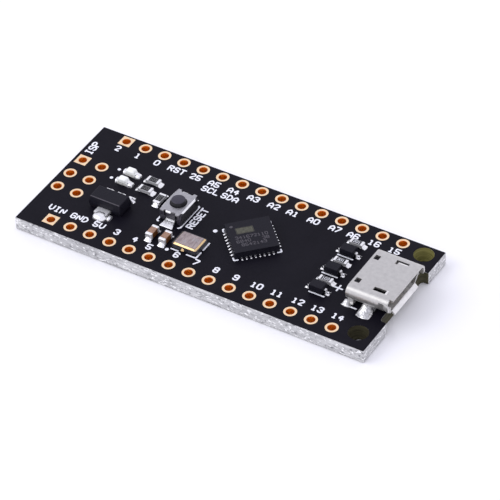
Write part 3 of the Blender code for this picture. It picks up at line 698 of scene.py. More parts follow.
def build_board():
    holes = [circle(HOLE_RADIUS + BARREL_WALL, x, y, 32) for x, y, _ in pin_grid()]
    mounts = [circle(MOUNT_RADIUS, x, y, 64) for x, y in MOUNT_HOLES]
    core = plate(board_outline(), -THICKNESS + MASK_DEPTH, -MASK_DEPTH, holes + mounts)
    for vert in core.verts:
        for hole in MOUNT_HOLES:
            spoke = Vector(vert.co.xy) - Vector(hole)
            if vert.co.z < -1 and spoke.length < MOUNT_REACH:
                vert.co.xy = Vector(hole) + spoke.normalized() * MOUNT_EXIT_RADIUS
    item = add("board_core", core, FIBRE, "solder_mask_black", replaces=["circuit_board"], smooth=30)
    far_hole, near_hole = MOUNT_HOLES

    def drilled(hole, centre, normal):
        away = math.hypot(centre.x - hole[0], centre.y - hole[1])
        return abs(normal.z) < 0.5 and away < MOUNT_REACH

    # The near mounting hole's wall and the notch's walls take the darker laminate as painted shade
    def shaded(centre, normal):
        between = NOTCH_Y[0] - 0.1 < centre.y < NOTCH_Y[1] + 0.1
        in_notch = between and NOTCH_X - 0.1 < centre.x < board_right - 0.02
        return drilled(near_hole, centre, normal) or (abs(normal.z) < 0.5 and in_notch)

    paint(item, BARE, lambda centre, normal: drilled(far_hole, centre, normal))
    paint(item, BARE_PAINTED_SHADE, shaded)
    openings = [(square if is_square else circle)(MASK_OPENING, x, y) for x, y, is_square in pin_grid()]
    for name, low, radius in (("mask_top", -MASK_DEPTH, MOUNT_RADIUS),
                              ("mask_underside", -THICKNESS, MOUNT_EXIT_RADIUS)):
        wide_mounts = [circle(radius + 0.002, x, y, 64) for x, y in MOUNT_HOLES]
        sheet = plate(board_outline(0.02), low, low + MASK_DEPTH, openings + wide_mounts)
        add(name, sheet, MASK, "solder_mask_black")


def plated_hole(x, y, is_square):
    """Ring on both faces and the barrel between them, as one closed piece."""
    top, bottom = -PAD_SINK, -THICKNESS + PAD_SINK
    wall = HOLE_RADIUS + BARREL_WALL - 0.004
    lip = 0.02
    outer = HOLE_RADIUS + 0.12 if is_square else PAD_RADIUS
    profile = [(outer, top - 0.02), (outer - 0.012, top), (HOLE_RADIUS + lip, top),
               (HOLE_RADIUS + lip * 0.3, top - lip * 0.3), (HOLE_RADIUS, top - lip),
               (HOLE_RADIUS, bottom + lip), (HOLE_RADIUS + lip * 0.3, bottom + lip * 0.3),
               (HOLE_RADIUS + lip, bottom), (outer - 0.012, bottom), (outer, bottom + 0.02),
               (wall, bottom + 0.026), (wall, top - 0.026)]
    ring = revolved(profile, x, y, 40)
    if not is_square:
        return ring
    inner = circle(HOLE_RADIUS + 0.1, x, y, 40)
    return joined(ring, plate(square(PAD_RADIUS, x, y), top - 0.025, top, [inner]),
                  plate(square(PAD_RADIUS, x, y), bottom, bottom + 0.025, [inner]))


def build_pads():
    def in_barrel(centre, normal):
        """Whether a face is on the wall of a hole, and not on a ring's rim."""
        return abs(normal.z) < 0.4 and -THICKNESS + 0.04 < centre.z < -0.03

    for label, chosen in (("far_row", lambda y: y > 5), ("near_row", lambda y: y < -5),
                          ("header", lambda y: abs(y) < 5)):
        pads = joined(*[plated_hole(*hole) for hole in pin_grid() if chosen(hole[1])])
        paint(add(f"plated_holes_{label}", pads, GOLD, "gold"), BARREL, in_barrel)


LABEL_HEIGHT = 0.76
LABEL_ADVANCE = 0.75
INK_HALF_WIDTH = 0.092
INK_HEIGHT = 0.012
# Labels by their line's Y: each text with the X of its middle
LABELS = (
    (6.15, (("2", -0.2), ("1", 2.45), ("0", 5.0), ("RST", 7.62), ("25", 10.07), ("A5", 12.5), ("A4", 15.0),
            ("A3", 17.6), ("A2", 20.2), ("A1", 22.6), ("A0", 25.25), ("A7", 27.95), ("A6", 30.25),
            ("16", 32.85), ("15", 35.35))),
    (-5.85, (("VIN", -0.3), ("GND", 2.6), ("5V", 5.15), ("3", 7.5), ("4", 9.85), ("6", 15.15), ("7", 17.65),
             ("8", 20.2), ("9", 22.7), ("10", 25.3), ("11", 27.8), ("12", 30.4), ("13", 32.8), ("14", 35.3))),
    (5.0, (("SCL", 12.72), ("SDA", 15.25))),
    (-6.2, (("5", 11.85),)),
)
LINE_HALF_WIDTH = 0.1
LINES = (
    ((30.3, 2.7), (32.1, 2.7)), ((30.3, -0.6), (32.1, -0.6)), ((30.6, -3.9), (32.4, -3.9)),
    ((32.65, -1.95), (33.55, -1.95)), ((33.1, -2.4), (33.1, -1.5)),
    ((13.0, 2.1), (13.15, 2.0), (13.15, -1.9), (12.95, -2.1)), ((10.2, -1.4), (10.2, -2.0), (10.4, -2.1)),
    ((14.1, -5.25), (14.95, -5.25)), ((16.1, -5.3), (17.27, -5.3), (17.27, -4.3)),
    ((17.27, -3.8), (17.27, -2.55)), ((35.75, -3.9), (36.35, -3.9)),
)
# Corner marks round the main chip: how far their tips are from its middle, and their legs' length
MCU_CORNER_REACH = 3.74
MCU_CORNER_LEG = 0.3
# Dots: X, Y and radius
DOTS = ((16.75, -0.5, 0.25), (13.75, -5.6, 0.22), (1.93, 3.15, 0.2), (1.93, 1.55, 0.2))


def build_silkscreen():
    def print_ink(name, shape):
        add(name, shape, INK, "led_substrate")

    paths = []
    for y, labels in LABELS:
        for text, x in labels:
            paths += lettering(text, x, y, LABEL_HEIGHT, LABEL_ADVANCE)
    print_ink("silkscreen_labels", strokes(paths, INK_HALF_WIDTH, INK_HEIGHT))
    upright = lettering("RESET", 13.97, 0.3, 0.78, 0.74, 90) + lettering("ISP", -2.7, 4.8, 0.82, 0.74, 90)
    print_ink("silkscreen_upright", strokes(upright, 0.095, INK_HEIGHT))
    lines = list(LINES)
    centre = Vector(middle("mcu_body"))
    for dx, dy in ((1, 0), (-1, 0), (0, 1), (0, -1)):
        tip = centre + Vector((dx, dy)) * MCU_CORNER_REACH
        legs = [tip + Vector((dy * side - dx, dx * side - dy)) * MCU_CORNER_LEG for side in (1, -1)]
        lines.append([tuple(legs[0]), tuple(tip), tuple(legs[1])])
    print_ink("silkscreen_lines", strokes(lines, LINE_HALF_WIDTH, INK_HEIGHT))
    dots = [cylinder(radius, 0.0, INK_HEIGHT, x, y, 32, radius * 0.93) for x, y, radius in DOTS]
    print_ink("silkscreen_dots", joined(*dots))


SOLDER_SMOOTH = 60
MARK_HEIGHT = 0.003
MARK_GAP = 0.001


def add_solder(put, name, joints, finish=SOLDER):
    put(f"{name}_solder", joined(*joints), finish, "tin", smooth=SOLDER_SMOOTH)


def marks_on(top, paths, half_width):
    """Thin marks on a package's top."""
    return moved(strokes(paths, half_width, MARK_HEIGHT), z=top + MARK_GAP)


# Two-terminal chips


def terminals(name):
    """A chip's two terminals, its heading (0 along X, 90 along Y) and their top."""
    ends = [f"{name}_terminal_a", f"{name}_terminal_b"]
    (ax, ay), (bx, by) = (middle(end) for end in ends)
    heading = 90.0 if abs(by - ay) > abs(bx - ax) else 0.0
    return ends, heading, span(ends[0])[1].z


RESISTOR_LENGTH = 1.48
RESISTOR_GLAZE_LENGTH = 0.98
# X of a resistor's end metal, from where it starts to the end
RESISTOR_END_X = (0.52, 0.785)
RESISTOR_WIDTH = 0.82
NARROW_RESISTOR_WIDTH = 0.7


def chip_resistor(name, value, ink, width):
    ends, heading, top = terminals(name)
    put = partial(add, at=middle(f"{name}_body"), heading=heading)
    body = shaped(block(RESISTOR_LENGTH, width - 0.02, 0.05, top - 0.02), bevel=0.02)
    put(f"{name}_chip", body, ALUMINA, "alumina", replaces=[f"{name}_body"])
    glaze = shaped(block(RESISTOR_GLAZE_LENGTH, width - 0.16, top - 0.03, top + 0.012), bevel=0.02)
    put(f"{name}_glaze", glaze, GLAZE, "black_plastic")
    marks = strokes(lettering(value, 0.0, 0.0, 0.32, 0.29), 0.027, 0.004)
    put(f"{name}_marks", moved(marks, z=top + 0.014), ink, "led_substrate")
    for end, side in zip(ends, (-1, 1)):
        inner, outer = (side * x for x in RESISTOR_END_X)
        upper, lower = top - 0.01, 0.035
        wrap = rounded_path([(inner, upper), (outer, upper), (outer, lower), (inner, lower)], 0.05, 3)
        cap = shaped(strip(wrap, 0.045, width), bevel=0.012, segments=1)
        put(f"{end}_cap", cap, TIN, "tin", replaces=[end])
    joints = [fillet(width + 0.04, 0.42, top * 0.7, x, 0, turn) for x, turn in ((0.8, 0), (-0.8, 180))]
    add_solder(put, name, joints)


# How far a capacitor stands from its CAD solid, along X
CAPACITOR_SHIFT = 0.11
CAPACITOR_LENGTH = 1.5
CAPACITOR_WIDTH = 0.78


def chip_capacitor(name):
    ends, heading, top = terminals(name)
    x, y = middle(f"{name}_body")
    put = partial(add, at=(x + CAPACITOR_SHIFT, y), heading=heading)
    body = shaped(block(CAPACITOR_LENGTH, CAPACITOR_WIDTH, 0.06, top - 0.03), bevel=0.06, segments=3)
    item = put(f"{name}_ceramic", body, CERAMIC, "capacitor_ceramic", replaces=[f"{name}_body"])
    # The sides take the darker ceramic as painted shade
    paint(item, CERAMIC_PAINTED_SHADE, lambda centre, normal: abs(normal.z) < 0.6)
    for end, side in zip(ends, (-1, 1)):
        cap = shaped(block(0.36, CAPACITOR_WIDTH + 0.05, 0.02, top, side * 0.65), bevel=0.09, segments=3)
        put(f"{end}_cap", cap, TIN, "tin", replaces=[end])
    far_joint = fillet(0.9, 0.36, top * 0.2, 0.79)
    add_solder(put, name, [far_joint, fillet(0.9, 0.42, top * 0.5, -0.79, 0, 180)])


LED_BASE_TOP = 0.24
LED_DOME_TAPER = (0.72, 0.80)


def chip_led(name):
    put = partial(add, at=middle(f"{name}_substrate"))
    base = shaped(block(1.6, 0.8, 0.02, LED_BASE_TOP), bevel=0.02)
    put(f"{name}_base", base, SUBSTRATE, "led_substrate", replaces=[f"{name}_substrate"])
    lens = block(1.36, 0.94, LED_BASE_TOP, span(f"{name}_lens")[1].z)
    for vert in lens.verts:
        if vert.co.z > 0.5:
            vert.co.x *= LED_DOME_TAPER[0]
            vert.co.y *= LED_DOME_TAPER[1]
    lens = shaped(lens, bevel=0.2, segments=6)
    put(f"{name}_dome", lens, LENS, "led_lens", replaces=[f"{name}_lens"])
    ends = joined(*[block(0.22, 0.82, 0.0, LED_BASE_TOP + 0.015, side * 0.7) for side in (-1, 1)])
    put(f"{name}_ends", shaped(ends, bevel=0.015, segments=1), TIN, "tin")
    joints = [mound(0.36, 0.46, 0.4, 0.93, -0.02, 0.02, 3), mound(0.24, 0.47, 0.42, -0.78, 0.0, 0.02, 4),
              fillet(0.7, 0.4, 0.5, 0.62, 0.1)]
    add_solder(put, name, joints)


DIODE_SIZE = (1.7, 1.25)
DIODE_PARTING = 0.5
DIODE_LEAD = ((0.82, DIODE_PARTING), (1.02, DIODE_PARTING), (1.02, 0.08), (1.27, 0.08))


def diode(name):
    put = partial(add, at=middle(f"{name}_body"))
    top = span(f"{name}_body")[1].z
    body = shaped(moulded(*DIODE_SIZE, 0.08, top, DIODE_PARTING, 0.12), bevel=0.035)
    put(f"{name}_package", body, EPOXY, "moulded_epoxy", replaces=[f"{name}_body"])
    joints, grooves = [], []
    for end, side in (("anode", -1), ("cathode", 1)):
        path = [(side * x, z) for x, z in DIODE_LEAD]
        lead = shaped(strip(rounded_path(path, 0.07), 0.11, 0.34), bevel=0.012, segments=1)
        put(f"{name}_{end}_lead", lead, TIN, "tin", replaces=[f"{name}_{end}"])
        pad = fillet(0.62, 0.3, 0.16, side * 1.2, 0.0, 0 if side > 0 else 180, 0.5)
        joints += [pad, block(0.46, 0.62, -0.02, 0.03, side * 1.24)]
        grooves += [block(0.2, 0.07, 0.02, 0.19, side * (1.34 + y), y) for y in (-0.1, 0.1)]
    add_solder(put, name, joints)
    # Dark dashes in the epoxy colour stand up through the solder at each end
    put(f"{name}_flux", shaped(joined(*grooves), bevel=0.008, segments=1), EPOXY, "moulded_epoxy")


# Larger parts


# How far the regulator's body stands from its CAD solid, along X
REGULATOR_SHIFT = 0.08
REGULATOR_SLOTS_X = (-1.42, 0.04, 1.5)
REGULATOR_JOINTS_X = (-1.3, 0.16, 1.5)
# Underside and top of the regulator's tab and leads
FRAME_LOW, FRAME_HIGH = 0.03, 0.4


def build_regulator():
    put = partial(add, at=middle("regulator_body"))
    low, high = span("regulator_body")
    size_x, size_y = high.x - low.x - 0.1, high.y - low.y
    body = moved(moulded(size_x, size_y, 0.02, high.z, 0.62, 0.2), REGULATOR_SHIFT)
    pocket = cube((-0.86, -size_y, -0.5), (0.9, 0.7, 0.42))
    slots = [cube((x - 0.28, 0.3, -0.5), (x + 0.28, size_y, 0.42)) for x in REGULATOR_SLOTS_X]
    mesh = shaped(body, cuts=[joined(*slots), pocket], bevel=0.07)
    package = put("regulator_package", mesh, EPOXY, "moulded_epoxy", replaces=["regulator_body"])
    # The near upper bevel takes the lighter mark colour as a painted highlight
    paint(package, MARK, lambda centre, normal: normal.y < -0.35 and normal.z > 0.45)
    half, neck = 0.8, 0.24
    back, shoulder, foot = -1.98, 0.62, 2.08
    tab = [(-half, back), (half, back), (half, shoulder), (neck, shoulder), (neck, foot), (-neck, foot),
           (-neck, shoulder), (-half, shoulder)]
    tab = shaped(plate(tab, FRAME_LOW, FRAME_HIGH), bevel=0.03)
    put("regulator_tab_plate", tab, TIN, "tin", replaces=["regulator_tab"])
    for label, x in (("in", -1.44), ("out", 1.5)):
        lead = shaped(cube((x - 0.22, 0.38, FRAME_LOW), (x + 0.22, foot, FRAME_HIGH)), bevel=0.03)
        put(f"regulator_lead_{label}_plate", lead, TIN, "tin", replaces=[f"regulator_lead_{label}"])
    marks = lettering("0123", REGULATOR_SHIFT, 0.1, 0.9, 0.72)
    put("regulator_marks", marks_on(high.z, marks, 0.045), EPOXY, "moulded_epoxy")
    joints = [mound(0.82, 0.68, 0.52, 0.12, -2.12, 0.006, 5), mound(0.25, 0.46, 0.36, 1.18, -1.88, 0.01, 9)]
    joints += [fillet(0.85, 0.45, 0.26, x, 2.05, 90, 0.5) for x in REGULATOR_JOINTS_X]
    joints += [fillet(0.5, 0.45, 0.3, 1.72, 1.75, 0, 0.5)]
    add_solder(put, "regulator", joints)


MCU_PITCH = 0.5
MCU_LANDS = 8
# The edge whose lands have only low solder, and the tops of its lands and of the others
MCU_OPEN_EDGE = 3
MCU_OPEN_LAND, MCU_LAND = 0.09, 0.2
# Rows of digits on the chip: Y, and the columns with a digit
MCU_DIGIT_ROWS = ((-0.14, range(9)), (-0.78, (0, 1, 2, 3, 7, 8)), (-1.4, range(1, 8)))
MCU_DIGIT_SEED = 4
# Corners of the plain badge on the chip
BADGE_LOW, BADGE_HIGH = (-1.56, 0.44), (0.42, 1.42)


def badge_outline(x_scale, y_scale, radius):
    (low_x, low_y), (high_x, high_y) = BADGE_LOW, BADGE_HIGH
    centre_x, centre_y = (low_x + high_x) / 2, (low_y + high_y) / 2
    corners = ((low_x, low_y), (high_x, low_y), (high_x, high_y), (low_x, high_y))
    return rounded_outline([(centre_x + (x - centre_x) * x_scale, centre_y + (y - centre_y) * y_scale, radius)
                            for x, y in corners])


def build_mcu():
    put = partial(add, at=middle("mcu_body"), heading=45)
    low, high = span("mcu_body")
    side = (high.x - low.x) / math.sqrt(2)
    half = side / 2
    top = high.z
    spot = (-half + 0.62, half - 0.68)
    dimple = cylinder(0.22, top - 0.03, top + 0.5, *spot, 40)
    body = shaped(block(side, side, 0.03, top), cuts=[dimple], bevel=0.035)
    put("mcu_package", body, EPOXY, "moulded_epoxy", replaces=["mcu_body"])
    lands, joints = [], []
    for edge in range(4):
        is_open = edge == MCU_OPEN_EDGE
        for k in range(MCU_LANDS):
            offset = (k - (MCU_LANDS - 1) / 2) * MCU_PITCH
            land = block(0.08, 0.2, 0.03, MCU_OPEN_LAND if is_open else MCU_LAND, half - 0.02, offset)
            if is_open:
                joint = mound(0.14, 0.105, 0.09, half + 0.24, offset, 0.03, k)
            else:
                joint = fillet(0.19, 0.25, 0.13, half + 0.07, offset, 0, 0.6, 5)
            lands.append(moved(land, heading=90 * edge))
            joints.append(moved(joint, heading=90 * edge))
    put("mcu_lands", joined(*lands), TIN, "tin")
    add_solder(put, "mcu", joints)
    marks = []
    digits = random.Random(MCU_DIGIT_SEED)
    for row, columns in MCU_DIGIT_ROWS:
        for column in columns:
            marks += lettering(str(digits.randrange(10)), -1.7 + column * 0.41, row, 0.42, 0.3)
    put("mcu_marks", marks_on(top, marks, 0.042), MARK, "moulded_epoxy")
    badge = joined(plate(badge_outline(1, 1, 0.1), top, top + 0.002, [badge_outline(0.95, 0.9, 0.07)]),
                   plate(badge_outline(0.91, 0.82, 0.05), top, top + 0.002))
    put("mcu_badge", badge, BADGE, "moulded_epoxy")
    put("mcu_pin_spot", cylinder(0.19, top - 0.031, top - 0.025, *spot, 32), MARK, "moulded_epoxy")


# How far the seal ring's sides lean in, from its foot to the lid
RIM_LEAN = 0.18


def build_crystal():
    put = partial(add, at=middle("crystal_base"))
    low, high = span("crystal_base")
    half_x, half_y = (high.x - low.x) / 2, (high.y - low.y) / 2
    top = high.z
    lid_top = span("crystal_lid")[1].z
    corners = [cylinder(0.17, -0.5, 1.0, x * half_x, y * half_y, 24) for x in (1, -1) for y in (1, -1)]
    well = block(2.3, 1.6, 0.2, 1.0)
    base = shaped(block(2 * half_x, 2 * half_y, 0.02, top), cuts=[well, *corners], bevel=0.02)
    put("crystal_box", base, DARK_CERAMIC, "crystal_ceramic", replaces=["crystal_base"])
    foot_x, foot_y = half_x - 0.14, half_y - 0.1

    def outline(x, y, radius):
        return rounded_outline([(sx * x, sy * y, radius) for sx, sy in ((-1, -1), (1, -1), (1, 1), (-1, 1))])

    ring = plate(outline(foot_x, foot_y, 0.16), top, lid_top - 0.03, [outline(1.15, 0.8, 0.1)])
    for vert in ring.verts:
        outside = max(abs(vert.co.x) / foot_x, abs(vert.co.y) / foot_y) > 0.9
        if outside and vert.co.z > top + 0.01:
            vert.co.x *= 1 - RIM_LEAN / foot_x
            vert.co.y *= 1 - RIM_LEAN / foot_y
    ring = shaped(ring, bevel=0.02, segments=1)
    put("crystal_rim", ring, RIM_GOLD, "gold", replaces=["crystal_seal_ring"])
    lid = plate(outline(foot_x - RIM_LEAN + 0.02, foot_y - RIM_LEAN + 0.02, 0.14), lid_top - 0.05, lid_top)
    put("crystal_cap", shaped(lid, bevel=0.02), LID, "crystal_lid", replaces=["crystal_lid"])
    marks = lettering("16", 0.55, 0.35, 0.42, 0.4) + lettering("0", -0.4, -0.4, 0.3, 0.3)
    put("crystal_marks", marks_on(lid_top, marks, 0.03), COVER, "crystal_lid")
    blank = shaped(block(1.7, 1.2, 0.3, 0.35), bevel=0.01, segments=1)
    put("crystal_plate", blank, QUARTZ, "quartz", replaces=["crystal_blank"])
    pads = [block(0.9, 0.5, -0.01, 0.02, x, y * (half_y - 0.3)) for x in (-1.0, 1.0) for y in (1, -1)]
    drips = [moved(fillet(0.42, 0.2, 0.36, half_y - 0.04, side * 0.12, 0, 0.3), heading=90 * side)
             for side in (1, -1)]
    put("crystal_pads", joined(*pads, moved(joined(*drips), z=0.12)), RIM_GOLD, "gold",
        smooth=SOLDER_SMOOTH)


COVER_SHEET = 0.16
COVER_HOLE_RADIUS = 0.98
CLIP_END_Z = 1.36
# The plunger's flange, which the cover keeps in
FLANGE_RADIUS = 1.12
FLANGE_TOP = 1.36
# The snap dome: its foot and rise, above and below
DOME_TOP = (0.58, 0.42)
DOME_UNDER = (0.53, 0.41)
DOME_STEPS = 8


def dome_line(foot, rise):
    shares = [k / DOME_STEPS for k in range(DOME_STEPS + 1)]
    return [(FLANGE_RADIUS * share, foot + rise * (1 - share ** 2)) for share in shares]


def build_switch():
    at = middle("switch_base")
    put = partial(add, at=at)
    low, high = span("switch_base")
    half_x, half_y, base_top = (high.x - low.x) / 2, (high.y - low.y) / 2, high.z
    well = cylinder(1.2, 0.5, 3.0)
    gaps = [block(1.5, 0.5, -0.5, 0.5, 0.0, side * half_y) for side in (1, -1)]
    gaps += [block(0.26, 0.4, 0.6, base_top + 0.5, x, side * half_y) for side in (1, -1) for x in (-0.7, 0.7)]
    base = block(2 * half_x - 0.04, 2 * half_y, 0.02, base_top)
    base = shaped(base, cuts=[well, joined(*gaps)], bevel=0.04)
    housing = put("switch_housing", base, HOUSING, "black_plastic", replaces=["switch_base"])
    # The housing's end faces are painted near-black as painted shade
    paint(housing, BLACK, lambda centre, normal: abs(normal.x) > 0.7)

    cover_high = span("switch_cover")[1]
    plate_top = cover_high.z
    ear = cover_high.y - at[1]
    ear_x = half_x - 0.24
    corner = [(half_x, 1.2, 0.08), (ear_x + 0.06, 1.42, 0.05), (ear_x, ear, 0.06), (ear_x - 0.4, ear, 0.06),
              (ear_x - 0.46, half_y, 0.06), (0.46, half_y, 0.04), (0.42, half_y + 0.04, 0.02)]
    upper = corner + [(-x, y, radius) for x, y, radius in reversed(corner)]
    lower = [(-x, -y, radius) for x, y, radius in upper]
    hole = circle(COVER_HOLE_RADIUS, sides=64)
    sheet = plate(rounded_outline(upper + lower, 3), plate_top - COVER_SHEET, plate_top, [hole])
    folds = [moved(turned(cube((-0.3, -4, 0), (0.3, 4, 0.4)), (side * 45, "Y")), side * (half_x - 0.1), 0,
                   plate_top - 0.1) for side in (1, -1)]
    sheet = shaped(sheet, cuts=folds, bevel=0.02)
    cover = put("switch_cover_plate", sheet, COVER, "switch_steel", replaces=["switch_cover"])
    # The fold chamfers take bright tin as a painted highlight
    paint(cover, TIN, lambda centre, normal: 0.5 < abs(normal.x) < 0.9 and normal.z > 0.5)
    bend = [(half_y - 0.2, plate_top - 0.08), (half_y + 0.12, plate_top - 0.08), (half_y + 0.12, CLIP_END_Z)]
    clips = [moved(strip(rounded_path(bend, 0.1), 0.15, 0.62, heading), -0.2) for heading in (90, -90)]
    put("switch_clips", shaped(joined(*clips), bevel=0.02, segments=1), TIN, "switch_steel")

    stem_low, stem_high = span("switch_plunger")
    crown = stem_high.z
    profile = [(0.0, crown), (0.68, crown), (0.73, crown - 0.01), (0.77, crown - 0.04), (0.8, crown - 0.09),
               (0.88, crown - 0.4), (0.9, FLANGE_TOP), (FLANGE_RADIUS, FLANGE_TOP),
               (FLANGE_RADIUS, stem_low.z), (0.0, stem_low.z)]
    plunger = put("reset_plunger", revolved(profile, sides=64), PLUNGER, "plunger_plastic", "button",
                  ["switch_plunger"])
    # The plunger's side is painted glossy black as painted shade
    paint(plunger, GLAZE, lambda centre, normal: abs(normal.z) < 0.6)
    dome = revolved(dome_line(*DOME_TOP) + dome_line(*DOME_UNDER)[::-1], sides=48)
    cap = put("snap_dome", dome, SHELL, "shell_steel", replaces=["switch_dome"])
    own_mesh(cap)

    joints = []
    near_x, far_x = half_y + 0.08, half_y + 1.1
    for label, heading in (("near", -90), ("far", 90)):
        path = rounded_path([(near_x, 0.5), (near_x, 0.09), (half_y + 0.8, 0.09)], 0.08)
        foot = shaped(strip(path, 0.12, 1.1, heading), bevel=0.02, segments=1)
        put(f"switch_foot_{label}", foot, TIN, "tin", replaces=[f"switch_terminal_{label}"])
        slope = cube((near_x, -0.55, BOARD_DIP), (far_x, 0.55, 0.36))
        for vert in slope.verts:
            if vert.co.x > half_y + 0.5:
                vert.co.z = min(vert.co.z, 0.12)
                vert.co.y *= 1.5
        joints.append(moved(slope, heading=heading))
    put("switch_solder", shaped(joined(*joints), bevel=0.06, segments=3), SOLDER, "tin")


# The USB shell's section: wall, height of its widest point, radius of its upper corners
USB_WALL = 0.25
USB_WAIST = 1.36
USB_SHOULDER = 0.8
USB_HALF_WIDTH = 3.78
USB_FRONT = 40.5
# Where the mouth's sides, floor and corner start to be cut back
USB_LIP_X = 40.0
USB_TONGUE = ((36.7, -1.85, 1.3), (39.5, 1.85, 1.9))
USB_BLOCK_X = (35.42, 37.0)
CONTACT_PITCH = 0.65
CONTACT_PATH = ((39.3, 1.18), (36.2, 1.18), (36.2, 0.11), (34.75, 0.11))
# Feet of the shell on each side: X of the middle, width and how far they reach out
USB_FEET = ((37.55, 1.3, 3.9), (35.45, 0.7, 3.45))


def usb_profile(inset, top):
    side, low = USB_HALF_WIDTH - inset, 0.04 + inset
    half = [(2.65 - inset * 0.7, low, 0.3), (side, USB_WAIST, 0.35),
            (side, top - inset, USB_SHOULDER - inset)]
    return rounded_outline(half + [(-y, z, radius) for y, z, radius in reversed(half)], 7)


def usb_tube(start, end, inset, top, fill):
    bm = turned(extruded([usb_profile(inset, top)], end - start, fill), (90, "Z"), (90, "X"))
    return moved(bm, (start + end) / 2)


def bar(xs, ys, zs):
    return cube((xs[0], ys[0], zs[0]), (xs[1], ys[1], zs[1]))


def build_usb():
    low, high = span("usb_shell")
    rear, top = low.x, high.z
    put = partial(add, at=(0.0, (low.y + high.y) / 2))
    roof = (top - USB_WALL - 0.2, top + 0.5)
    ahead = (USB_LIP_X - 0.1, 42)

    def across(side, inner, outer):
        return tuple(sorted((side * inner, side * outer)))

    cuts = [bar((rear - 1, rear + 1.5), (-1.8, 1.8), (-0.5, 0.6)),
            bar((37.75, 39.25), (-2.6, -2.05), roof),
            plate([(37.75, 2.1), (38.05, 2.1), (38.05, 2.5), (39.25, 2.5), (39.25, 2.75), (37.75, 2.75)],
                  *roof),
            bar((USB_LIP_X + 0.1, 42), (-5.0, -3.1), (1.9, 3.5)),
            bar(ahead, (-2.6, 2.6), (-0.5, 0.5))]
    for side in (1, -1):
        cuts.append(bar((35.36, 35.98), across(side, 1.7, 2.4), roof))
        cuts.append(bar(ahead, across(side, 2.5, 5.0), (-0.5, 1.25)))
    shell = usb_tube(rear, USB_FRONT, USB_WALL / 2, top, "NONE")
    mesh = shaped(shell, cuts=cuts, bevel=0.035, wall=USB_WALL, angle=40)
    put("usb_receptacle_shell", mesh, SHELL, "shell_steel", replaces=["usb_shell"])

    wall_y = 0.115 - USB_HALF_WIDTH
    path = [(USB_LIP_X - 0.9, wall_y), (USB_LIP_X - 0.3, wall_y), (USB_LIP_X + 0.53, wall_y - 0.4)]
    wing = turned(strip(rounded_path(path, 0.5, 5), 0.26, 0.6), (-90, "X"))
    path = [(rear + 0.5, top - 0.125), (rear + 0.125, top - 0.125), (rear + 0.125, 0.85)]
    pieces = [moved(wing, z=1.88), strip(rounded_path(path, 0.18, 4), 0.24, 3.0)]
    put("usb_shell_flaps", shaped(joined(*pieces), bevel=0.06, segments=3), SHELL, "shell_steel")
    # The lip strip reaches back into the mouth and, with two small window tabs, takes the brighter nickel as
    # painted highlight
    path = [(USB_LIP_X - 1.6, 0.175), (USB_LIP_X - 0.12, 0.175), (USB_LIP_X + 0.27, -0.21)]
    bright = [moved(strip(rounded_path(path, 0.25, 5), 0.24, 5.0), y=0.15),
              cube((38.1, 2.38, top - 0.3), (39.2, 2.5, top + 0.02)),
              cube((39.22, -2.64, top - 0.2), (39.46, -2.02, top + 0.06))]
    put("usb_shell_lip", shaped(joined(*bright), bevel=0.03), NICKEL_PAINTED_HIGHLIGHT, "shell_steel")

    feet = []
    for side in (1, -1):
        for x, width, reach in USB_FEET:
            bend = rounded_path([(2.5, 0.16), (2.95, 0.16), (reach, 0.16)], 0.1)
            feet.append(moved(strip(bend, 0.22, width, side * 90), x))
        feet.append(bar((35.15, 35.8), across(side, 3.1, 3.35), (0.02, 1.3)))
    # The feet take the brighter nickel as painted highlight
    put("usb_shell_feet", shaped(joined(*feet), bevel=0.03), NICKEL_PAINTED_HIGHLIGHT, "shell_steel")

    body = usb_tube(*USB_BLOCK_X, USB_WALL + 0.03, top, "BOTH")
    channels = [bar((35.0, 37.5), (y - 0.19, y + 0.19), (-0.5, 1.2))
                for y in [CONTACT_PITCH * k for k in range(-2, 3)]]
    insulator = shaped(body, cuts=[joined(*channels)], joins=[cube(*USB_TONGUE)], bevel=0.02)
    put("usb_tongue_block", insulator, BLACK, "black_plastic", replaces=["usb_insulator"])
    tails = []
    for k in range(1, 6):
        _, y = middle(f"usb_contact_{k}")
        contact = shaped(strip(rounded_path(CONTACT_PATH, 0.12), 0.11, 0.26), bevel=0.015, segments=1)
        add(f"usb_pin_{k}", contact, GOLD, "gold", replaces=[f"usb_contact_{k}"], at=(0.0, y))
        tails += [fillet(0.4, 0.35, 0.14, 34.9, y, 180, 0.5), block(0.9, 0.34, BOARD_DIP, 0.04, 34.85, y)]
    anchors = []
    for side in (1, -1):
        anchors.append(moved(fillet(1.7, 1.62, 0.95, 3.1, 0.0, 0, 0.2, 10), 37.5, heading=90 * side))
        anchors.append(moved(fillet(1.15, 0.75, 0.4, 3.2, 0.0, 0, 0.5), 35.1, heading=90 * side))
    add_solder(add, "usb_tail", tails)
    # The anchor solder's dark and bright patches are painted reflections
    add_solder(put, "usb_anchor", anchors, SOLDER_PAINTED_REFLECTIONS)


build_board()
build_pads()
build_silkscreen()
for index, value in enumerate(("103", "103", "472"), 1):
    chip_resistor(f"resistor_{index}", value, FAINT, RESISTOR_WIDTH)
for index, value in enumerate(("201", "301", "102"), 4):
    chip_resistor(f"resistor_{index}", value, INK, NARROW_RESISTOR_WIDTH)
for index in range(1, 3):
    chip_capacitor(f"capacitor_{index}")
    chip_led(f"led_{index}")
for index in range(1, 4):
    diode(f"diode_{index}")
build_regulator()
build_mcu()
build_crystal()
build_switch()
build_usb()


# Floor, light and camera


FLOOR_GAP = 0.08
FLOOR_REACH = 1.2
FLOOR_WHITE = (0.98, 0.98, 0.985)
KEY_PLACE = Vector((-0.52, -0.36, 0.60))
KEY_SIZE = 0.60
KEY_POWER = 2.0
SKY_LOW = (1.04, 1.03, 1.13)
SKY_HIGH = (0.79, 0.79, 0.90)
# The sky is a little stronger on this side: its direction, and the strengths away from it and towards it
SKY_SIDE = (-0.8, -0.6, 0.0)
SKY_STRENGTHS = (1.03, 1.07)


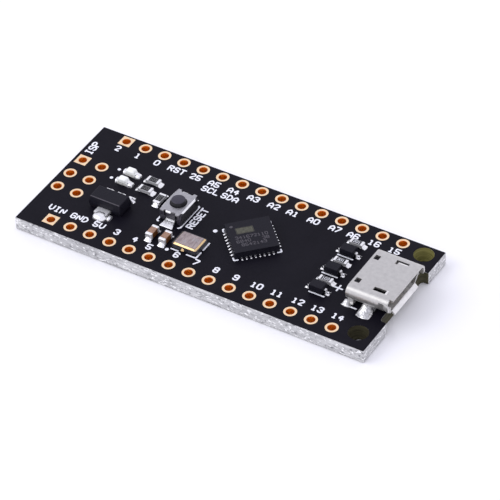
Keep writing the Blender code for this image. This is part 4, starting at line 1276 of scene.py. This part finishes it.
def build_floor():
    bm = bmesh.new()
    bmesh.ops.create_grid(bm, x_segments=2, y_segments=2, size=FLOOR_REACH)
    floor = placed("floor", mesh_from(bm, "floor"))
    floor.location = (0, 0, board_low.z - FLOOR_GAP * MM)
    floor.data.materials.append(new_material("floor_white", FLOOR_WHITE, 0.9, Specular_IOR_Level=0.1))


CAMERA_AZIMUTH = 33.07
CAMERA_ELEVATION = 41.46
CAMERA_ROLL = 2.61
CAMERA_DISTANCE = 368.588
CAMERA_AIM = (17.710, 4.763, -6.417)
CAMERA_LENS = 239.5


def build_camera():
    data = bpy.data.cameras.new("camera")
    data.lens = CAMERA_LENS
    data.sensor_width = 36.0
    data.clip_start = 0.01
    camera = placed("camera", data)
    turn = rotation(4, (CAMERA_AZIMUTH, "Z"), (90 - CAMERA_ELEVATION, "X"), (-CAMERA_ROLL, "Z"))
    back = Matrix.Translation((0, 0, CAMERA_DISTANCE * MM))
    camera.matrix_world = Matrix.Translation(DATUM + Vector(CAMERA_AIM) * MM) @ turn @ back
    bpy.context.scene.camera = camera


def build_sky():
    world = bpy.data.worlds.new("studio")
    world.use_nodes = True
    link = world.node_tree.links.new
    background = world.node_tree.nodes["Background"].inputs
    where = node(world, "TexCoord").outputs["Generated"]
    split = node(world, "SeparateXYZ")
    link(where, split.inputs["Vector"])
    colour = ramp(world, split.outputs["Z"], [(0.0, SKY_LOW), (1.0, SKY_HIGH)])
    link(colour, background["Color"])
    towards = node(world, "VectorMath")
    towards.operation = "DOT_PRODUCT"
    towards.inputs[1].default_value = SKY_SIDE
    link(where, towards.inputs[0])
    strength = levels(world, towards.outputs["Value"], *SKY_STRENGTHS, -1.0, 1.0)
    link(strength, background["Strength"])
    bpy.context.scene.world = world


def build_light():
    data = bpy.data.lights.new("key", "AREA")
    data.shape = "SQUARE"
    data.size = KEY_SIZE
    data.energy = KEY_POWER
    light = placed("key", data)
    light.location = KEY_PLACE
    light.rotation_euler = (-KEY_PLACE).to_track_quat("-Z", "Y").to_euler()
    bpy.context.scene.view_settings.view_transform = "Standard"


build_floor()
build_sky()
build_light()
build_camera()
